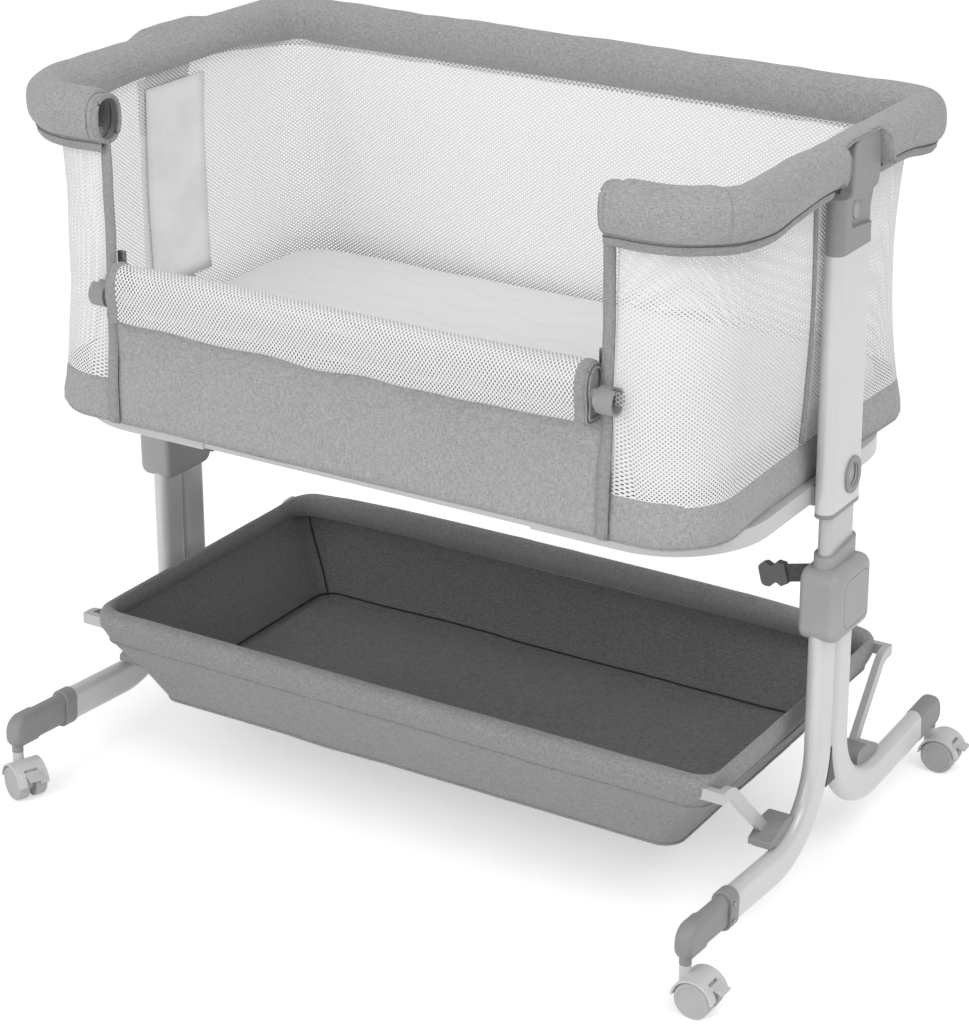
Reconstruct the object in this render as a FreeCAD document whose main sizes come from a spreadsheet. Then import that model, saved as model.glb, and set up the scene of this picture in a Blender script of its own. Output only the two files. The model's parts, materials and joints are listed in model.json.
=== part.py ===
import FreeCAD, Part
import math
import os
import re
import Sketcher
from FreeCAD import Placement, Rotation, Vector

# Bedside sleeper crib, in millimetres. X runs along the bed, Y from the open drop side (front, -Y) to the
# back, Z up. The origin is on the floor under the middle of the bed.

SIZES = (
    # the frame as a whole
    ("leg_half_span", 441, "centre plane of each leg pair from the middle"),
    ("column_y", 17, "centre of the telescopic columns"),
    ("pair_y", 15, "middle of each pair of leg tubes, and of the hub"),
    ("fit_gap", 0.1, "clearance of pieces that plug together"),
    ("seat_gap", 0.3, "clearance under soft pieces and between bodies"),
    # lower bent tubes
    ("tube_width", 20, "flat oval leg tube, along X"),
    ("tube_depth", 41, "flat oval leg tube, across its bend"),
    ("tube_wall", 1, "wall of the leg tube"),
    ("tube_seam", 0.4, "gap between the two tubes of a pair"),
    ("tube_entry", 30, "how far the leg tubes enter the hub"),
    ("bend_radius", 100, "centre line radius of the bend to the foot"),
    ("foot_corner_z", 59, "height at which column and foot run would meet without the bend"),
    ("foot_slope", 3.3, "the foot runs rise outwards, degrees"),
    ("front_reach", 215, "end of the front tube from the middle"),
    ("rear_reach", 261, "end of the rear tube from the middle"),
    ("gusset_height", 44, "web between the two bends"),
    # telescopic columns
    ("post_width", 17, "inner post, along X"),
    ("post_depth", 62.5, "inner post, along Y"),
    ("post_wall", 1.2, "wall of the inner post"),
    ("upper_width", 22, "upper tube, along X"),
    ("upper_depth", 80, "upper tube, along Y"),
    ("upper_wall", 1.5, "wall of the upper tube"),
    ("upper_bottom_z", 443, "bottom of the upper tube at the present height of the bed"),
    ("upper_length", 283.5, "upper tube"),
    ("lower_travel", 30, "how far the bed can still go down"),
    ("bush_rim", 5, "rim of the guide bush below the upper tube"),
    ("bush_length", 13, "guide bush inside the upper tube"),
    ("window_y", 29, "centre of the height window"),
    ("window_rise", 31, "centre of the height window above the tube's bottom"),
    ("window_width", 22, "opening of the height window, along Y"),
    ("window_height", 27, "opening of the height window, along Z"),
    ("bezel_rim", 7, "flat rim of the window bezel"),
    ("bezel_rise", 2, "bezel proud of the tube"),
    # hubs
    ("hub_inward", 20, "inner face of the hub from the leg's centre plane"),
    ("hub_outward", 27, "outer face of the hub from the leg's centre plane"),
    ("hub_depth", 87, "hub, along Y"),
    ("hub_bottom_z", 297, "bottom of the hub"),
    ("hub_height", 82, "bottom of the hub to its shoulder"),
    ("hub_corner", 14, "corner radius of the hub in side view"),
    ("hub_edge", 12, "rounding of the outer hub face"),
    ("hub_wall", 4, "wall of the outer hub shell"),
    ("collar_wall", 4, "collar round the post"),
    ("collar_front", 13, "collar above the shoulder at its front"),
    ("collar_rear", 21, "collar above the shoulder at its rear"),
    # feet
    ("cap_width", 21, "foot caps, along X"),
    ("cap_height", 39, "foot caps, upright"),
    ("cap_edge", 8, "rounding along the sides of a foot cap"),
    ("cap_nose", 11, "front foot cap beyond the caster's stem"),
    ("cap_back", 28, "front foot cap behind the caster's stem"),
    ("rear_cap_nose", 10, "rear foot cap beyond the caster's stem"),
    ("rear_cap_back", 50, "rear foot cap behind the caster's stem"),
    ("foot_collar_wall", 2.2, "collar on the front tube's end"),
    ("foot_collar_over", 7, "collar over the tube"),
    ("foot_collar_ahead", 11, "collar beyond the tube"),
    ("foot_show", 49, "foot extension that shows between its cap and the collar"),
    ("foot_inside", 45, "foot extension inside the tube"),
    ("plug_length", 32, "plug of the rear foot cap in its tube"),
    ("plug_wall", 2, "wall of the foot extension and the plugs"),
    ("boss_radius", 6.6, "stem boss under the foot caps"),
    ("boss_bottom_z", 51, "underside of the stem boss"),
    # casters
    ("caster_trail", 16.5, "axle behind the swivel axis"),
    ("wheel_radius", 20.5, "caster wheels"),
    ("wheel_inner", 4.4, "inner face of a wheel from the middle of its caster"),
    ("wheel_outer", 18.6, "outer face of a wheel from the middle of its caster"),
    ("wheel_disc_radius", 15, "recessed disc of a wheel"),
    ("wheel_round", 3, "rounding of the tread"),
    ("guard_gap", 1.1, "hood round the wheels"),
    ("guard_wall", 2.4, "wall of the caster hood"),
    ("guard_half_width", 19, "half the width of the caster hood"),
    ("guard_skirt", 2, "lower edge of the caster hood above the axle"),
    ("web_thickness", 8, "web between the twin wheels"),
    ("axle_radius", 3, "caster axle"),
    ("axle_gap", 0.05, "running clearance on axles, stems and pins"),
    ("stem_radius", 4, "swivel stem"),
    ("stem_length", 28, "swivel stem in the foot cap"),
    ("neck_radius", 6.4, "neck of the caster under the foot"),
    ("brake_angle", 40, "brake pin on the hood, above the horizontal"),
    ("brake_slope", 15, "the released pedal points below the horizontal, degrees"),
    ("brake_half_width", 8, "half the width of the brake pedal"),
    ("brake_length", 14, "brake pedal from its pin"),
    ("brake_thickness", 3, "brake pedal"),
    ("brake_pin_radius", 1.2, "brake pin"),
    ("brake_hub_radius", 2.8, "eye of the brake pedal"),
    # padded top rail
    ("rail_rise", 83.5, "centre of the top rail tube above the upper tubes"),
    ("rail_inward", 3, "the rail runs inside the columns' centre plane"),
    ("rail_tube_radius", 9.5, "top rail tube and drop rail tube"),
    ("rail_tube_wall", 1.3, "wall of the rail tubes"),
    ("rail_front_y", -243.5, "rail tube at the front"),
    ("rail_back_y", 251, "rail tube at the back"),
    ("rail_front_turn", 84, "front corner radius of the rail tube"),
    ("rail_back_turn", 46, "back corner radius of the rail tube"),
    ("rail_stub_x", 340, "front ends of the rail tube"),
    ("cover_outward", 17, "padding outside the rail tube"),
    ("cover_inward", 33, "padding inside the rail tube at the ends"),
    ("cover_half_depth", 18.5, "half the depth of the padded rail, front and back"),
    ("cover_below", 28, "padding below the rail tube's centre"),
    ("cover_above", 29, "padding above the rail tube's centre"),
    ("cover_front_turn", 112, "front corner radius of the padding"),
    ("cover_round", 17, "rounding of the padding"),
    ("cover_stub", 28, "padding beyond the front ends of the rail tube"),
    ("socket_radius", 13, "latch socket on a rail tube end"),
    ("socket_length", 21, "latch socket on a rail tube end"),
    ("socket_lip", 9, "latch socket beyond the rail tube end"),
    ("socket_mouth_radius", 8, "mouth of the latch socket"),
    # top fittings
    ("fitting_body", 60, "body of the top fitting above the upper tube"),
    ("fitting_head", 118.5, "top of the fitting's head above the upper tube"),
    ("head_thickness", 14, "head of the fitting, along X"),
    ("fitting_plug", 28, "plug of the fitting in the upper tube"),
    ("recess_depth", 5, "finger recess in the fitting"),
    ("button_back", 1, "release button behind the column's centre"),
    ("button_rise_z", 42, "release button above the upper tube"),
    ("button_width", 13, "release button, along Y"),
    ("button_height", 21, "release button, along Z"),
    ("button_bore_depth", 9, "guide of the button in the fitting"),
    ("button_proud", 1.5, "button proud of the recess floor"),
    ("button_length", 7, "button from its face to its tail"),
    # drop side
    ("drop_height", 102, "drop rail above the fabric band when lowered"),
    ("drop_ahead", 11.5, "the lowered drop rail stands in front of the top rail"),
    ("drop_tube_back", 24, "ends of the drop rail tube inside the top rail's ends"),
    ("cup_radius", 14.5, "cups of the drop rail"),
    ("cup_wall", 2.5, "wall of the cups"),
    ("cup_length", 19, "cups of the drop rail"),
    ("cup_over", 9, "cup over the tube's end"),
    ("roll_back", 45, "ends of the rolled mesh inside the top rail's ends"),
    ("roll_above", 36, "rolled mesh above the drop rail tube's centre"),
    ("roll_below", 25, "rolled mesh below the drop rail tube's centre"),
    ("roll_half_depth", 17, "half the depth of the rolled mesh"),
    ("tape_y", -239.4, "zip tapes beside the opening"),
    ("tape_width", 29, "zip tape"),
    ("tape_thickness", 1.2, "zip tape"),
    ("zip_height", 141, "zip slider above the fabric band"),
    ("zip_length", 15, "zip slider, along Z"),
    ("zip_width", 9.2, "zip slider, along X"),
    ("zip_half_depth", 1.9, "half the depth of the zip slider"),
    ("pull_length", 20, "pull tab of the zip slider"),
    # bed
    ("band_rise", 28, "underside of the fabric band above the bottom of the upper tubes"),
    ("band_height", 48, "fabric band"),
    ("band_half_length", 420, "bottom of the band at its corners"),
    ("band_front_y", -250, "bottom of the band"),
    ("band_back_y", 267, "bottom of the band at its corners"),
    ("band_taper", 5, "the band draws in towards its top"),
    ("band_bow", 12, "the back of the band bows in"),
    ("band_end_bow", 4, "the ends of the band bow in"),
    ("band_corner", 56, "corner radius of the band"),
    ("band_wall", 2.5, "thickness of the band"),
    ("panel_height", 76, "front panel above the band, under the roll"),
    ("panel_half_width", 293, "front panel"),
    ("mesh_thickness", 1.2, "mesh walls"),
    ("waist_height", 123, "where the mesh is drawn in most, above the band"),
    ("waist_half_length", 396, "mesh corners at the waist"),
    ("waist_back_y", 239, "mesh corners at the waist"),
    ("waist_front_y", -241, "front of the mesh at its waist"),
    ("waist_bow", 17, "the back mesh bows in at the waist"),
    ("waist_end_bow", 8, "the end mesh bows in at the waist"),
    ("mesh_top_inset", 9, "back of the mesh inside the rail tube"),
    ("mesh_end_inset", 28, "ends of the mesh inside the rail tube"),
    ("mesh_front_inset", 2.5, "front of the mesh inside the rail tube"),
    ("board_thickness", 12, "folding base board"),
    ("board_margin", 8, "base board inside the band"),
    ("mattress_margin", 25, "mattress inside the band"),
    ("mattress_back_margin", 34, "mattress inside the band at the back"),
    ("mattress_thickness", 56, "mattress at its middle"),
    ("mattress_corner", 48, "corner radius of the mattress"),
    ("mattress_crown", 14, "rounding of the mattress edges"),
    ("mattress_swell", 5, "the middle of the mattress stands above its border"),
    ("support_width", 12, "rectangular tube under the bed"),
    ("support_height", 20, "rectangular tube under the bed"),
    ("support_wall", 1.5, "wall of the tube under the bed"),
    ("support_margin", 28, "front tube under the bed, inside the band"),
    ("support_back_margin", 39, "back tube under the bed, inside the band"),
    ("support_turn", 105, "corner radius of the tube under the bed"),
    ("support_split_x", 210, "sleeve joints of the tube under the bed"),
    ("support_sleeve", 40, "how far the long tubes enter the end tubes"),
    ("bracket_half_depth", 33, "half of the support bracket on the upper tube"),
    ("bracket_wall", 2, "wall of the support bracket"),
    ("bracket_air", 3, "tube under the bed from the upper tube"),
    # storage basket
    ("basket_rim_z", 194, "rim of the basket"),
    ("basket_height", 115, "rim to bottom of the basket"),
    ("basket_clearance", 34, "rim from the legs' centre plane"),
    ("basket_front_y", -197, "front of the rim"),
    ("basket_back_y", 227, "back of the rim"),
    ("basket_inset_x", 55, "the bottom is shorter at each end"),
    ("basket_inset_y", 44, "the bottom is narrower on each side"),
    ("basket_corner", 10, "corner radius of the rim"),
    ("basket_wall", 2, "basket fabric"),
    ("hem_height", 24, "hem round the basket rod"),
    ("hem_depth", 13, "hem round the basket rod"),
    ("rod_width", 8, "basket rod, across"),
    ("rod_height", 13, "basket rod, upright"),
    ("arm_inward", 21, "feet of the basket arms from the legs' centre plane"),
    ("arm_foot_z", 94, "foot of a basket arm"),
    ("front_arm_reach", 101, "foot of a front basket arm from the leg pair"),
    ("rear_arm_reach", 116, "foot of a rear basket arm from the leg pair"),
    ("arm_elbow", 20, "elbow of a basket arm from its rod"),
    ("arm_turn", 30, "bend of a basket arm"),
    ("cleat_outward", 27, "basket cleat beyond the arm's foot"),
    ("cleat_back", 28, "basket cleat behind the arm's foot"),
    ("cleat_below", 12, "basket cleat below the arm's foot"),
    ("cleat_above", 14, "basket cleat above the arm's foot"),
    ("cleat_wall", 2.5, "wall of the cleat round the arm"),
    # anchor straps
    ("strap_width", 20, "webbing of the anchor straps"),
    ("strap_thickness", 1.6, "webbing of the anchor straps"),
    ("strap_length", 26, "webbing from the hub to the buckle"),
    ("strap_ahead", 17, "anchor strap in front of the hub's middle"),
    ("strap_rise", 68, "anchor strap above the hub's bottom"),
    ("strap_droop", 14, "slope of the anchor strap, degrees"),
    ("buckle_length", 32, "side release buckle"),
    ("buckle_width", 28, "side release buckle"),
    ("buckle_thickness", 9, "side release buckle"),
    ("screw_radius", 3, "screw heads"),
    ("screw_rise", 1.2, "screw heads"),
)

# Places that follow from the sizes, by name.
PLACES = {
    "hub_inner_x": "leg_half_span - hub_inward",
    "hub_split_x": "leg_half_span + tube_width / 2 + fit_gap",
    "hub_outer_x": "leg_half_span + hub_outward",
    "hub_front_y": "pair_y - hub_depth / 2",
    "hub_rear_y": "pair_y + hub_depth / 2",
    "hub_top_z": "hub_bottom_z + hub_height",
    "tube_top_z": "hub_bottom_z + tube_entry",
    "collar_top_z": "hub_top_z + collar_rear",
    "tube_half_pair": "(tube_depth + tube_seam) / 2",
    "bend_z": "foot_corner_z + bend_radius * tan(45 + foot_slope / 2)",
    "post_bottom_z": "tube_top_z + 2",
    "upper_top_z": "upper_bottom_z + upper_length",
    "post_top_z": "upper_top_z - fitting_plug - lower_travel - 2",
    "window_z": "upper_bottom_z + window_rise",
    "front_caster_y": "front_reach + foot_collar_ahead + foot_show + cap_back",
    "rear_caster_y": "rear_reach + rear_cap_back",
    "stem_top_z": "boss_bottom_z + stem_length",
    "guard_inner": "wheel_radius + guard_gap",
    "guard_outer": "wheel_radius + guard_gap + guard_wall",
    "guard_bottom_z": "wheel_radius + guard_skirt",
    "rail_z": "upper_top_z + rail_rise",
    "rail_end_x": "leg_half_span - rail_inward",
    "rail_tube_bore": "rail_tube_radius - rail_tube_wall",
    "cover_outer_x": "rail_end_x + cover_outward",
    "cover_inner_x": "rail_end_x - cover_inward",
    "cover_bottom_z": "rail_z - cover_below",
    "cover_top_z": "rail_z + cover_above",
    "cover_end_x": "rail_stub_x - cover_stub",
    "socket_inner_x": "rail_stub_x - socket_lip",
    "socket_outer_x": "rail_stub_x - socket_lip + socket_length",
    "fitting_outer_x": "leg_half_span + upper_width / 2",
    "saddle_z": "upper_top_z + fitting_body",
    "fitting_top_z": "upper_top_z + fitting_head",
    "button_y": "column_y + button_back",
    "button_z": "upper_top_z + button_rise_z",
    "band_bottom_z": "upper_bottom_z + band_rise",
    "band_top_z": "upper_bottom_z + band_rise + band_height",
    "panel_top_z": "band_top_z + panel_height",
    "waist_z": "band_top_z + waist_height",
    "drop_z": "band_top_z + drop_height",
    "drop_y": "rail_front_y - drop_ahead",
    "drop_tube_end_x": "rail_stub_x - drop_tube_back",
    "cup_inner_x": "drop_tube_end_x - cup_over",
    "cup_outer_x": "drop_tube_end_x - cup_over + cup_length",
    "roll_end_x": "rail_stub_x - roll_back",
    "roll_bottom_z": "drop_z - roll_below",
    "roll_top_z": "drop_z + roll_above",
    "tape_outer_x": "socket_inner_x",
    "tape_inner_x": "socket_inner_x - tape_width",
    "zip_inner_x": "tape_inner_x - 5.4",
    "zip_z": "band_top_z + zip_height",
    "support_x": "leg_half_span - upper_width / 2 - bracket_air - support_width / 2",
    "support_front_y": "band_front_y + support_margin",
    "support_back_y": "band_back_y - support_back_margin",
    "basket_rim_x": "leg_half_span - basket_clearance",
    "basket_bottom_z": "basket_rim_z - basket_height",
    "arm_foot_x": "leg_half_span - arm_inward",
    "rod_end_x": "leg_half_span - arm_inward - rod_width / 2",
    "cleat_bottom_z": "arm_foot_z - cleat_below",
    "cleat_top_z": "arm_foot_z + cleat_above",
    "strap_y": "pair_y - strap_ahead",
    "strap_z": "hub_bottom_z + strap_rise",
}

doc = FreeCAD.newDocument("bedside_crib")
sheet = doc.addObject("Spreadsheet::Sheet", "dim")
for row, (alias, size, note) in enumerate(SIZES, start=1):
    sheet.set(f"A{row}", alias)
    sheet.set(f"B{row}", str(size))
    sheet.set(f"C{row}", note)
    sheet.setAlias(f"B{row}", alias)
doc.recompute()

ALIASES = {alias for alias, size, note in SIZES}
NODES = {}


def tied(expression):
    """The expression with places written out and each size's name turned into a reference to its cell."""

    def reference(match):
        name = match.group()
        if name in PLACES:
            return "(" + tied(PLACES[name]) + ")"
        return "dim." + name if name in ALIASES else name

    return re.sub(r"[a-z_]+", reference, expression)


def value(expression):
    """The expression's present value in millimetres."""
    return float(sheet.evalExpression(tied(expression)))


# ---------------------------------------------------------------- sketches


def new_sketch(body, role, offset="0"):
    """A sketch on one of the body's own planes, moved along the plane's normal."""
    plane = next(f for f in body.Origin.OriginFeatures if f.Role == role)
    sketch = body.newObject("Sketcher::SketchObject", "sketch")
    sketch.AttachmentSupport = [(plane, "")]
    sketch.MapMode = "FlatFace"
    sketch.setExpression("AttachmentOffset.Base.z", tied(offset))
    return sketch


def tie(sketch, first, rules):
    """Adds the constraints, each (constraint, expression or None), and binds those that have one."""
    sketch.addConstraint([constraint for constraint, expression in rules])
    for n, (constraint, expression) in enumerate(rules, start=first):
        if expression is not None:
            sketch.setExpression(f"Constraints[{n}]", tied(expression))


def pinned(geometry, position, x, y):
    """Two constraints that hold a point at x, y."""
    return [
        (Sketcher.Constraint("DistanceX", geometry, position, value(x)), x),
        (Sketcher.Constraint("DistanceY", geometry, position, value(y)), y),
    ]


def disc(sketch, x, y, radius):
    """A circle."""
    place = Vector(value(x), value(y), 0)
    circle = sketch.addGeometry(Part.Circle(place, Vector(0, 0, 1), value(radius)), False)
    rules = pinned(circle, 3, x, y) + [(Sketcher.Constraint("Radius", circle, value(radius)), radius)]
    tie(sketch, sketch.ConstraintCount, rules)


def slot(sketch, x, y, width, height):
    """An upright flat oval: a rectangle with a half round on its top and bottom."""
    radius, reach = f"({width}) / 2", f"(({height}) - ({width})) / 2"
    cx, cy, r, d = value(x), value(y), value(radius), value(reach)
    top = Part.Circle(Vector(cx, cy + d, 0), Vector(0, 0, 1), r)
    bottom = Part.Circle(Vector(cx, cy - d, 0), Vector(0, 0, 1), r)
    first = sketch.GeometryCount
    sketch.addGeometry(
        [
            Part.LineSegment(Vector(cx + r, cy - d, 0), Vector(cx + r, cy + d, 0)),
            Part.ArcOfCircle(top, 0, math.pi),
            Part.LineSegment(Vector(cx - r, cy + d, 0), Vector(cx - r, cy - d, 0)),
            Part.ArcOfCircle(bottom, math.pi, 2 * math.pi),
        ],
        False,
    )
    rules = [
        (Sketcher.Constraint("Tangent", first + n, 2, first + (n + 1) % 4, 1), None) for n in range(4)
    ]
    rules += pinned(first + 1, 3, x, f"({y}) + {reach}")
    rules += pinned(first + 3, 3, x, f"({y}) - {reach}")
    rules += [(Sketcher.Constraint("Radius", first + 1, r), radius)]
    tie(sketch, sketch.ConstraintCount, rules)


def rounding(before, place, after, radius):
    """Where a corner's round starts and ends, its centre, and whether it turns left."""
    back = (before - place).normalize()
    ahead = (after - place).normalize()
    half = back.getAngle(ahead) / 2
    start = place + back * (radius / math.tan(half))
    end = place + ahead * (radius / math.tan(half))
    centre = place + (back + ahead).normalize() * (radius / math.sin(half))
    return start, end, centre, back.cross(ahead).z < 0


def outline(sketch, corners, closed=True):
    """Lines through the corners, each (x, y) or (x, y, radius), with every corner held in its place."""
    count = len(corners)
    places = [Vector(value(c[0]), value(c[1]), 0) for c in corners]
    ends = {}
    for n, corner in enumerate(corners):
        ends[n] = (places[n], places[n], None, None)
        if len(corner) > 2:
            ends[n] = rounding(places[n - 1], places[n], places[(n + 1) % count], value(corner[2]))
    first = sketch.GeometryCount
    lines = count if closed else count - 1
    for n in range(lines):
        sketch.addGeometry(Part.LineSegment(ends[n][1], ends[(n + 1) % count][0]), False)
    rules = []
    for n, corner in enumerate(corners):
        before, after = first + (n - 1) % count, first + n
        start, end, centre, left = ends[n]
        if centre is None:
            if closed or n < lines:
                rules += pinned(after, 1, corner[0], corner[1])
            else:
                rules += pinned(before, 2, corner[0], corner[1])
            if closed or 0 < n < lines:
                rules.append((Sketcher.Constraint("Coincident", before, 2, after, 1), None))
            continue
        a, b = (start, end) if left else (end, start)
        from_angle = math.atan2(a.y - centre.y, a.x - centre.x)
        to_angle = math.atan2(b.y - centre.y, b.x - centre.x)
        if to_angle < from_angle:
            to_angle += 2 * math.pi
        circle = Part.Circle(centre, Vector(0, 0, 1), (start - centre).Length)
        arc = sketch.addGeometry(Part.ArcOfCircle(circle, from_angle, to_angle), False)
        point = sketch.addGeometry(Part.Point(places[n]), True)
        rules += pinned(point, 1, corner[0], corner[1])
        rules += [
            (Sketcher.Constraint("PointOnObject", point, 1, before), None),
            (Sketcher.Constraint("PointOnObject", point, 1, after), None),
            (Sketcher.Constraint("Tangent", before, 2, arc, 1 if left else 2), None),
            (Sketcher.Constraint("Tangent", after, 1, arc, 2 if left else 1), None),
            (Sketcher.Constraint("Radius", arc, value(corner[2])), corner[2]),
        ]
    tie(sketch, sketch.ConstraintCount, rules)


def rectangle(sketch, left, right, bottom, top, radius=None):
    """An upright rectangle, with rounded corners if a radius is given."""
    corners = [(left, bottom), (right, bottom), (right, top), (left, top)]
    outline(sketch, [corner + (radius,) if radius else corner for corner in corners])


# ---------------------------------------------------------------- features


def new_body(name):
    return doc.addObject("PartDesign::Body", name)


def swept_face(body, kind, role, start, end, draw):
    """A pad or pocket of what draw puts in the sketch, from start to end along X, Y or Z."""
    offset = f"-({end})" if role == "XZ_Plane" else start
    sketch = new_sketch(body, role, offset)
    draw(sketch)
    feature = body.newObject("PartDesign::" + kind, kind.lower())
    feature.Profile = sketch
    feature.setExpression("Length", tied(f"({end}) - ({start})"))
    feature.Reversed = kind == "Pocket"
    return feature


def pad(body, role, start, end, draw):
    return swept_face(body, "Pad", role, start, end, draw)


def pocket(body, role, start, end, draw):
    """A pocket, checked to have taken something away."""
    doc.recompute()
    before = body.Shape.Volume
    feature = swept_face(body, "Pocket", role, start, end, draw)
    doc.recompute()
    if body.Shape.Volume > before - 1e-3:
        raise RuntimeError(f"{body.Name}: {feature.Name} cuts nothing")
    return feature


def pipe(body, kind, section, route):
    """The section drawn along every edge of the route."""
    doc.recompute()
    feature = body.newObject("PartDesign::" + kind, "pipe")
    feature.Profile = section
    feature.Spine = (route, [f"Edge{n}" for n in range(1, len(route.Shape.Edges) + 1)])
    return feature


def on_plane(axis, place):
    """A test for edges that lie in the plane axis = place."""

    def test(edge):
        ends = (edge.FirstParameter, (edge.FirstParameter + edge.LastParameter) / 2, edge.LastParameter)
        return all(abs(getattr(edge.valueAt(t), axis) - value(place)) < 1e-3 for t in ends)

    return test

def any_of(*tests):
    return lambda edge: any(test(edge) for test in tests)


def fillet(body, radius, *tests, unless=any_of()):
    """Rounds the edges that pass any of the tests, but not those that pass unless."""
    doc.recompute()
    last = body.Tip
    wanted = any_of(*tests)
    edges = enumerate(last.Shape.Edges, start=1)
    feature = body.newObject("PartDesign::Fillet", "fillet")
    feature.Base = (last, [f"Edge{n}" for n, edge in edges if wanted(edge) and not unless(edge)])
    feature.setExpression("Radius", tied(radius))
    return feature



def placed(obj, x="0", y="0", z="0"):
    """Binds the object's place to the sheet."""
    for axis, expression in zip("xyz", (x, y, z)):
        obj.setExpression("Placement.Base." + axis, tied(expression))
    return obj


def cylinder(radius, start, end, x="0", y="0", z="0", axis="z"):
    """A cylinder along one axis, from start to end on that axis."""
    obj = doc.addObject("Part::Cylinder", "cylinder")
    turns = {"x": Rotation(Vector(0, 1, 0), 90), "y": Rotation(Vector(1, 0, 0), -90), "z": Rotation()}
    obj.Placement = Placement(Vector(), turns[axis])
    obj.setExpression("Radius", tied(radius))
    obj.setExpression("Height", tied(f"({end}) - ({start})"))
    places = {"x": x, "y": y, "z": z}
    places[axis] = start
    return placed(obj, **places)


def box(x0, x1, y0, y1, z0, z1):
    """An upright box between the given coordinates."""
    obj = doc.addObject("Part::Box", "box")
    obj.setExpression("Length", tied(f"({x1}) - ({x0})"))
    obj.setExpression("Width", tied(f"({y1}) - ({y0})"))
    obj.setExpression("Height", tied(f"({z1}) - ({z0})"))
    return placed(obj, x0, y0, z0)


def fused(*pieces):
    obj = doc.addObject("Part::MultiFuse", "fuse")
    obj.Shapes = list(pieces)
    return obj


def common(*pieces):
    obj = doc.addObject("Part::MultiCommon", "common")
    obj.Shapes = list(pieces)
    return obj


def cut(base, *tools):
    """The base without the tools, checked to have lost something."""
    obj = doc.addObject("Part::Cut", "cut")
    obj.Base = base
    obj.Tool = tools[0] if len(tools) == 1 else fused(*tools)
    doc.recompute()
    if obj.Shape.Volume > base.Shape.Volume - 1e-3:
        raise RuntimeError(f"{obj.Name} cuts nothing")
    return obj


def twin(source, axis="x", base="0"):
    """The mirror image of a piece in the plane axis = base."""
    obj = doc.addObject("Part::Mirroring", "twin")
    obj.Source = source
    obj.Normal = Vector(*(1 if name == axis else 0 for name in "xyz"))
    obj.setExpression("Base." + axis, tied(base))
    return obj


def group(*pieces):
    obj = doc.addObject("Part::Compound", "group")
    obj.Links = list(pieces)
    return obj


def node(name, obj):
    """Names a finished piece."""
    obj.Label = name
    NODES[name] = obj
    return obj


def pair_nodes(name, right):
    """A piece on the right and its mirror image on the left, each a node."""
    node(name + "_right", right)
    node(name + "_left", twin(right))


def both(right):
    """A piece and its mirror image on the left, as one group."""
    return group(right, twin(right))


def solid_feature(name, shape):
    """A shape made directly from the sheet's values."""
    obj = doc.addObject("Part::Feature", name)
    obj.Shape = shape
    return obj

# ---------------------------------------------------------------- lower frame

SHAFT = ("tube_width - 2 * tube_wall", "tube_depth - 2 * tube_wall")
MOUTH = ("tube_width + 2 * fit_gap", "tube_depth + 2 * fit_gap")


def run_height(side, reach):
    """Centre height of a foot run at a distance from the middle; side is -1 or 1 in Y."""
    return f"foot_corner_z + tan(foot_slope) * ({reach} - {side} * pair_y - tube_half_pair)"


def leg(side, reach):
    """A flat oval tube that leaves the hub straight down and bends into its foot run, which rises a little."""
    body = new_body("leg")
    centre = f"pair_y + {side} * tube_half_pair"
    section = new_sketch(body, "XY_Plane", "tube_top_z")
    slot(section, "leg_half_span", centre, "tube_width", "tube_depth")
    slot(section, "leg_half_span", centre, *SHAFT)
    route = new_sketch(body, "YZ_Plane", "leg_half_span")
    corners = [
        (centre, "tube_top_z"),
        (centre, "foot_corner_z", "bend_radius"),
        (f"{side} * {reach}", run_height(side, reach)),
    ]
    outline(route, corners, closed=False)
    pipe(body, "AdditivePipe", section, route)
    return body


def gusset():
    """The web that fills the fork where the two bends part."""
    outside = "bend_radius + tube_depth / 2 + fit_gap"
    left, right = "leg_half_span - tube_width / 2 + 2", "leg_half_span + tube_width / 2 - 2"
    block = box(left, right, "pair_y - 16", "pair_y + 16", "bend_z - 8 - gusset_height", "bend_z - 8")
    bends = []
    for side in (-1, 1):
        centre = f"pair_y + {side} * (bend_radius + tube_half_pair)"
        bends.append(cylinder(outside, left, right, y=centre, z="bend_z", axis="x"))
    return cut(block, *bends)


def hub_outline(sketch):
    rectangle(sketch, "hub_front_y", "hub_rear_y", "hub_bottom_z", "hub_top_z", "hub_corner")


def collar_outline(gap):
    """The plan of the collar round the post, larger by gap all round."""
    size = (f"post_width + 2 * (collar_wall + {gap})", f"post_depth + 2 * (collar_wall + {gap})")
    return lambda sketch: slot(sketch, "leg_half_span", "column_y", *size)


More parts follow.
